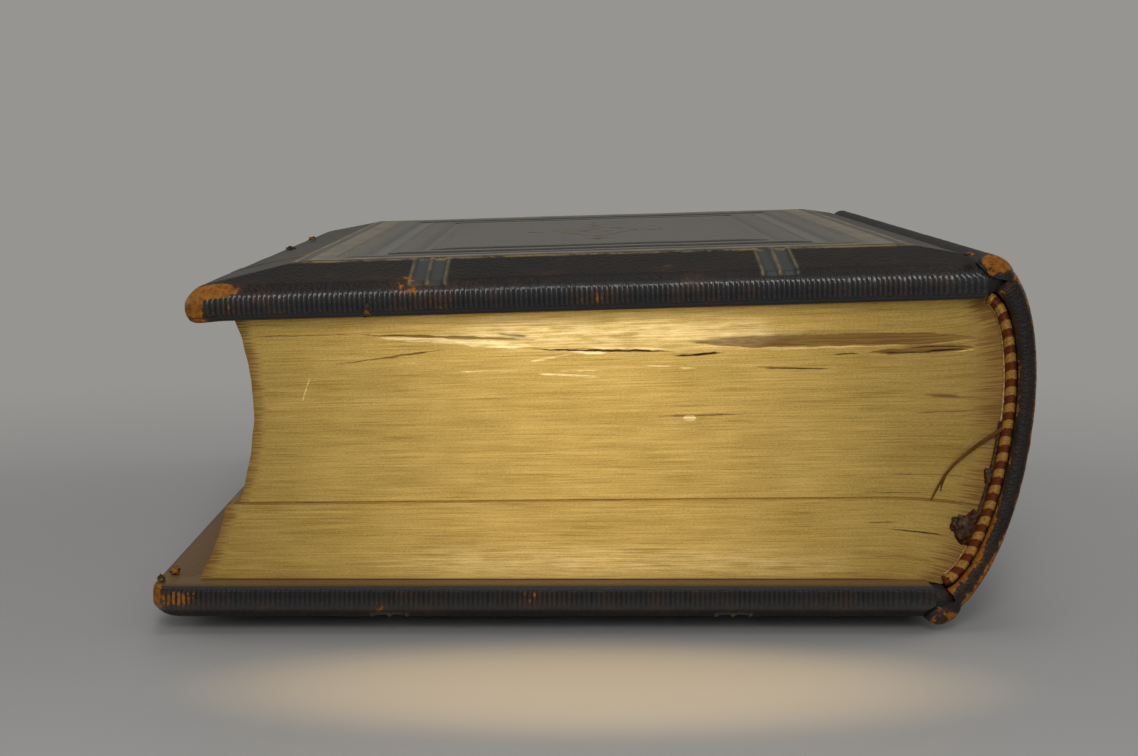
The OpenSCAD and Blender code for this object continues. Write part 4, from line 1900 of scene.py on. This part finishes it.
@dataclass
class Leavings:
    """What age left: a frayed strand and old glue at the head and torn leather, in millimetres."""

    band: Endband
    strand: tuple[Span, ...] = (
        (107.0, 54.4), (104.0, 52.4), (100.5, 49.8), (97.1, 47.0), (94.6, 44.6), (92.6, 42.0), (91.0, 39.2),
        (89.0, 35.0),
    )
    branch: tuple[Span, ...] = ((92.6, 42.0), (92.1, 40.4), (91.6, 38.6), (91.5, 37.4))
    glue_turns: Span = (82.0, 124.0)
    glue_inset: float = 2.5
    lumps: tuple[tuple[float, float, float, float], ...] = (
        (104.3, 41.6, 1.4, 2.4), (98.3, 26.8, 3.5, 4.2), (100.6, 30.4, 1.9, 1.7), (96.0, 28.4, 1.8, 2.0),
    )
    lump_depth: float = 1.6
    lump_waves: tuple[Span, ...] = ((0.5, 0.6), (0.25, 0.22))
    flake_waves: tuple[Span, ...] = ((0.7, 0.5),)
    flake_wear: float = 0.5
    front_flakes: tuple[tuple[Vector, Vector], ...] = (
        (Vector((-58.8, -131.2, 86.2)), Vector((0.7, 0.5, 1.5))),
        (Vector((-59.2, -131.3, 84.9)), Vector((1.0, 0.5, 0.6))),
        (Vector((-98.6, 0.0, 93.4)), Vector((1.3, 2.6, 0.7))),
        (Vector((-97.0, 40.0, 94.3)), Vector((1.1, 3.0, 0.6))),
        (Vector((96.0, -129.0, 100.3)), Vector((1.3, 0.9, 0.5))),
    )
    back_flakes: tuple[tuple[Vector, Vector], ...] = (
        (Vector((-114.6, -128.4, 14.6)), Vector((1.0, 0.9, 1.0))),
        (Vector((-112.9, -119.0, 14.4)), Vector((1.2, 1.8, 1.1))),
    )

    @property
    def head(self) -> float:
        """Place of the leaves' head edge along Y."""
        return -self.band.leaf_end

    def build(self) -> None:
        """Makes the strand with its branch, the line of glue, the crumbs and the flakes."""
        self.lay("frayed_strand", self.strand, (0.6, 0.22), 1.7, FRAY)
        self.lay("frayed_strand_branch", self.branch, (0.3, 0.12), 0.9, FRAY)
        turns = [mixed(*self.glue_turns, i / 24) for i in range(25)]
        glue = [self.band.along(self.glue_inset, turn) for turn in turns]
        self.lay("dried_glue_line", glue, (0.5, 0.8), 0.9, GLUE)
        self.build_crumbs()
        self.build_flakes("front_cover", self.front_flakes)
        self.build_flakes("back_cover", self.back_flakes)

    def lay(
        self, name: str, route: Sequence[Span], widths: Span, lift: float, finish: Finish
    ) -> None:
        """Lays a tapering strand over the head of the leaves.

        Args:
            name: The strand's name.
            route: The points that it passes, in X and Z.
            widths: Half widths at its start and its end.
            lift: Height of its start above the leaves.
            finish: What it is made of.
        """
        strand = Skin(name)
        last = len(route) - 1
        path = [Vector((x, self.head - mixed(lift, 0.4, i / last), z)) for i, (x, z) in enumerate(route)]
        flatness = 0.6
        strand.sweep(
            path, Vector((0, 1, 0)),
            lambda share: mixed(*widths, share), lambda share: flatness * mixed(*widths, share),
        )
        strand.weld()
        strand.finish([finish], "book_block", "hemp_cord", crease=ROUND_CREASE)

    def build_crumbs(self) -> None:
        """Sets lumps of glue on the leaves beside the endband."""
        crumbs = Skin("dried_glue_crumbs")
        for x, z, wide, tall in self.lumps:
            place, size = Vector((x, self.head, z)), Vector((wide, self.lump_depth, tall))
            crumbs.add_lump(place, size, Vector((x, 0.0, z)), self.lump_waves)
        crumbs.weld()
        crumbs.finish([GLUE], "book_block", "hemp_cord", crease=ROUND_CREASE)

    def build_flakes(self, body: str, flakes: Sequence[tuple[Vector, Vector]]) -> None:
        """Sets torn bits of leather on a cover.

        Args:
            body: The cover's body.
            flakes: The place of each bit and its half sizes.
        """
        torn = Skin(f"{body}_torn_leather", LEATHER_MARKS)
        for place, size in flakes:
            for vert in torn.add_lump(place, size, Vector((place.x, place.y, 0.0)), self.flake_waves):
                vert[torn.layers["wear"]] = self.flake_wear
        torn.weld()
        torn.finish([MOROCCO], body, "morocco", crease=ROUND_CREASE)


@dataclass
class PanelOrnament:
    """Plain gilt lozenges in the middle of the front panel, in millimetres."""

    cover: Cover
    rise: float = 0.08
    sink: float = 0.4
    frames: tuple[tuple[float, float, float, float], ...] = (
        (0.0, 0.0, 14.0, 34.0), (0.0, 0.0, 6.0, 15.0), (0.0, 41.0, 3.0, 6.0), (0.0, -41.0, 3.0, 6.0),
        (19.0, 0.0, 3.0, 6.0), (-19.0, 0.0, 3.0, 6.0),
    )
    line: float = 1.3

    def build(self) -> None:
        """Lays each lozenge as a thin line of gold on the leather."""
        tooling = Skin("gilt_panel_ornament")
        cover = self.cover
        middle = (cover.bevel_fore - cover.width - cover.roll_x - cover.bevel_joint) / 2
        low, high = cover.panel - self.sink, cover.panel + self.rise
        for x, y, wide, tall in self.frames:
            inner = 1 - 2 * self.line / wide
            section = ((1.0, low), (1.0, high), (max(inner, 0.05), high), (max(inner, 0.05), low))

            def place(i: int, j: int) -> tuple[Vector, Marks]:
                """Puts a point on the lozenge's closed section.

                Args:
                    i: Corner of the lozenge.
                    j: Corner of the section.

                Returns:
                    The point in millimetres and its marks.
                """
                size, height = section[j % 4]
                turn = math.pi / 2 * i
                point = Vector((wide * math.cos(turn) * size, tall * math.sin(turn) * size, height))
                return point + Vector((middle + x, y, 0.0)), {}

            tooling.bend_grid(4, 4, place)
        tooling.weld()
        tooling.move(cover.placement())
        tooling.finish([TOOLING], f"{cover.kind.value}_cover", "morocco", crease=30.0)


@dataclass(frozen=True)
class Lamp:
    """A rectangular soft lamp that faces a point, in metres and watts."""

    name: str
    place: Point
    target: Point
    size: Span
    power: float
    glints: bool = True

    def hang(self) -> None:
        """Hangs the lamp, which shows in shiny surfaces only if it glints."""
        lamp = bpy.data.lights.new(self.name, "AREA")
        lamp.shape = "RECTANGLE"
        lamp.size, lamp.size_y = self.size
        lamp.energy = self.power
        hung = bpy.data.objects.new(self.name, lamp)
        hung.location = self.place
        facing = Vector(self.target) - Vector(self.place)
        hung.rotation_euler = facing.to_track_quat("-Z", "Y").to_euler()
        hung.visible_glossy = self.glints
        bpy.context.scene.collection.objects.link(hung)


@dataclass
class Studio:
    """Floor, light and camera."""

    floor_half: float = 4.0
    lens: float = 56.65
    sensor: float = 36.0
    camera_place: Point = (-6.84, -590.0, 132.0)
    pitch: float = 7.88
    ambient: float = 0.33
    ceiling: str = "#383a3d"
    lamps: tuple[Lamp, ...] = (
        Lamp("key_lamp", (0.0, -0.75, 0.5), (0.0, -0.12, 0.05), (0.16, 0.3), 2.05),
        Lamp("low_lamp", (0.0, -0.8, 0.22), (0.0, -0.12, 0.05), (0.3, 0.2), 0.75),
        Lamp("top_lamp", (0.1, -0.1, 1.5), (0.0, 0.0, 0.0), (0.6, 0.6), 4.5),
        Lamp("spine_lamp", (1.1, 0.25, 0.55), (0.1, 0.0, 0.05), (0.5, 0.5), 3.6),
        Lamp("fore_lamp", (-1.1, 0.3, 0.5), (-0.1, 0.0, 0.05), (0.5, 0.5), 2.0),
        Lamp("tail_lamp", (-0.2, 1.3, 0.9), (0.0, 0.1, 0.05), (0.5, 0.5), 3.0, glints=False),
    )
    glow_place: Point = (0.0, -0.175, 0.7)
    glow_cone: float = 18.0
    glow_stretch: Point = (1.0, 0.4, 1.0)
    glow_power: float = 16.0
    glow_colour: str = "#ffd68c"

    def build(self) -> None:
        """Sets up the whole studio."""
        self.lay_floor()
        self.set_world()
        for lamp in self.lamps:
            lamp.hang()
        self.hang_glow()
        self.set_camera()
        bpy.context.scene.view_settings.view_transform = "Standard"

    def lay_floor(self) -> None:
        """Lays a large sheet of pale paper under the book."""
        bm = bmesh.new()
        bmesh.ops.create_grid(bm, x_segments=4, y_segments=4, size=self.floor_half)
        mesh = bpy.data.meshes.new("studio_floor")
        bm.to_mesh(mesh)
        bm.free()
        mesh.materials.append(StudioPaper().material())
        floor = bpy.data.objects.new("studio_floor", mesh)
        bpy.context.scene.collection.objects.link(floor)

    def set_world(self) -> None:
        """Lights from all round, and shows the backdrop's grey to the camera and in reflections."""
        world = bpy.data.worlds.new("studio")
        world.use_nodes = True
        bpy.context.scene.world = world
        tree = world.node_tree
        pen = Pen(tree)
        facing = add_node(tree, "ShaderNodeTexCoord").outputs["Generated"]
        rise = add_node(tree, "ShaderNodeSeparateXYZ", {0: facing}).outputs["Z"]
        room = pen.mix(pen.ramp(rise, 0.16, 0.42, smooth=True), StudioPaper.backdrop, self.ceiling)
        light = (self.ambient, self.ambient, self.ambient, 1.0)
        fill_inputs(tree, tree.nodes["Background"], {"Color": pen.mix(pen.seen(), light, room)})

    def hang_glow(self) -> None:
        """Hangs a soft lamp that shines straight down, as the gilt throws its light on the floor."""
        lamp = bpy.data.lights.new("gilt_glow", "SPOT")
        lamp.spot_size, lamp.spot_blend = math.radians(self.glow_cone), 1.0
        lamp.energy = self.glow_power
        lamp.color = linear(self.glow_colour)[:3]
        hung = bpy.data.objects.new("gilt_glow", lamp)
        hung.location = self.glow_place
        hung.scale = self.glow_stretch
        bpy.context.scene.collection.objects.link(hung)

    def set_camera(self) -> None:
        """Puts the camera before the head of the book, looking slightly down."""
        data = bpy.data.cameras.new("camera")
        data.lens = self.lens
        data.sensor_width = self.sensor
        data.sensor_fit = "HORIZONTAL"
        camera = bpy.data.objects.new("camera", data)
        camera.location = Vector(self.camera_place) * MM
        camera.rotation_euler = (math.radians(90 - self.pitch), 0.0, 0.0)
        bpy.context.scene.collection.objects.link(camera)
        bpy.context.scene.camera = camera


def main() -> None:
    """Builds the studio and every piece of the book."""
    logging.basicConfig(level=logging.INFO, format="%(name)s: %(message)s")
    back_joint, front_joint = joint_place("back_joint"), joint_place("front_joint")
    back = Back(back_joint, front_joint)
    block = TextBlock(back)
    tilt = math.atan2(block.back_thick - block.fore_thick, block.leaf_width)
    Studio().build()
    block.build()
    front = Cover(CoverKind.FRONT, front_joint, tilt)
    front.build()
    PanelOrnament(front).build()
    Cover(CoverKind.BACK, back_joint, 0.0, tip_reach=4.5, tip_swell=0.5, tongue=0.25).build()
    JointStrip(CoverKind.FRONT, front_joint).build()
    JointStrip(CoverKind.BACK, back_joint, bared=0.55).build()
    Spine(back, front.height).build()
    bands = {end: Endband(block, end) for end in BookEnd}
    for band in bands.values():
        band.build()
    Leavings(bands[BookEnd.HEAD]).build()


if __name__ == "__main__":
    main()
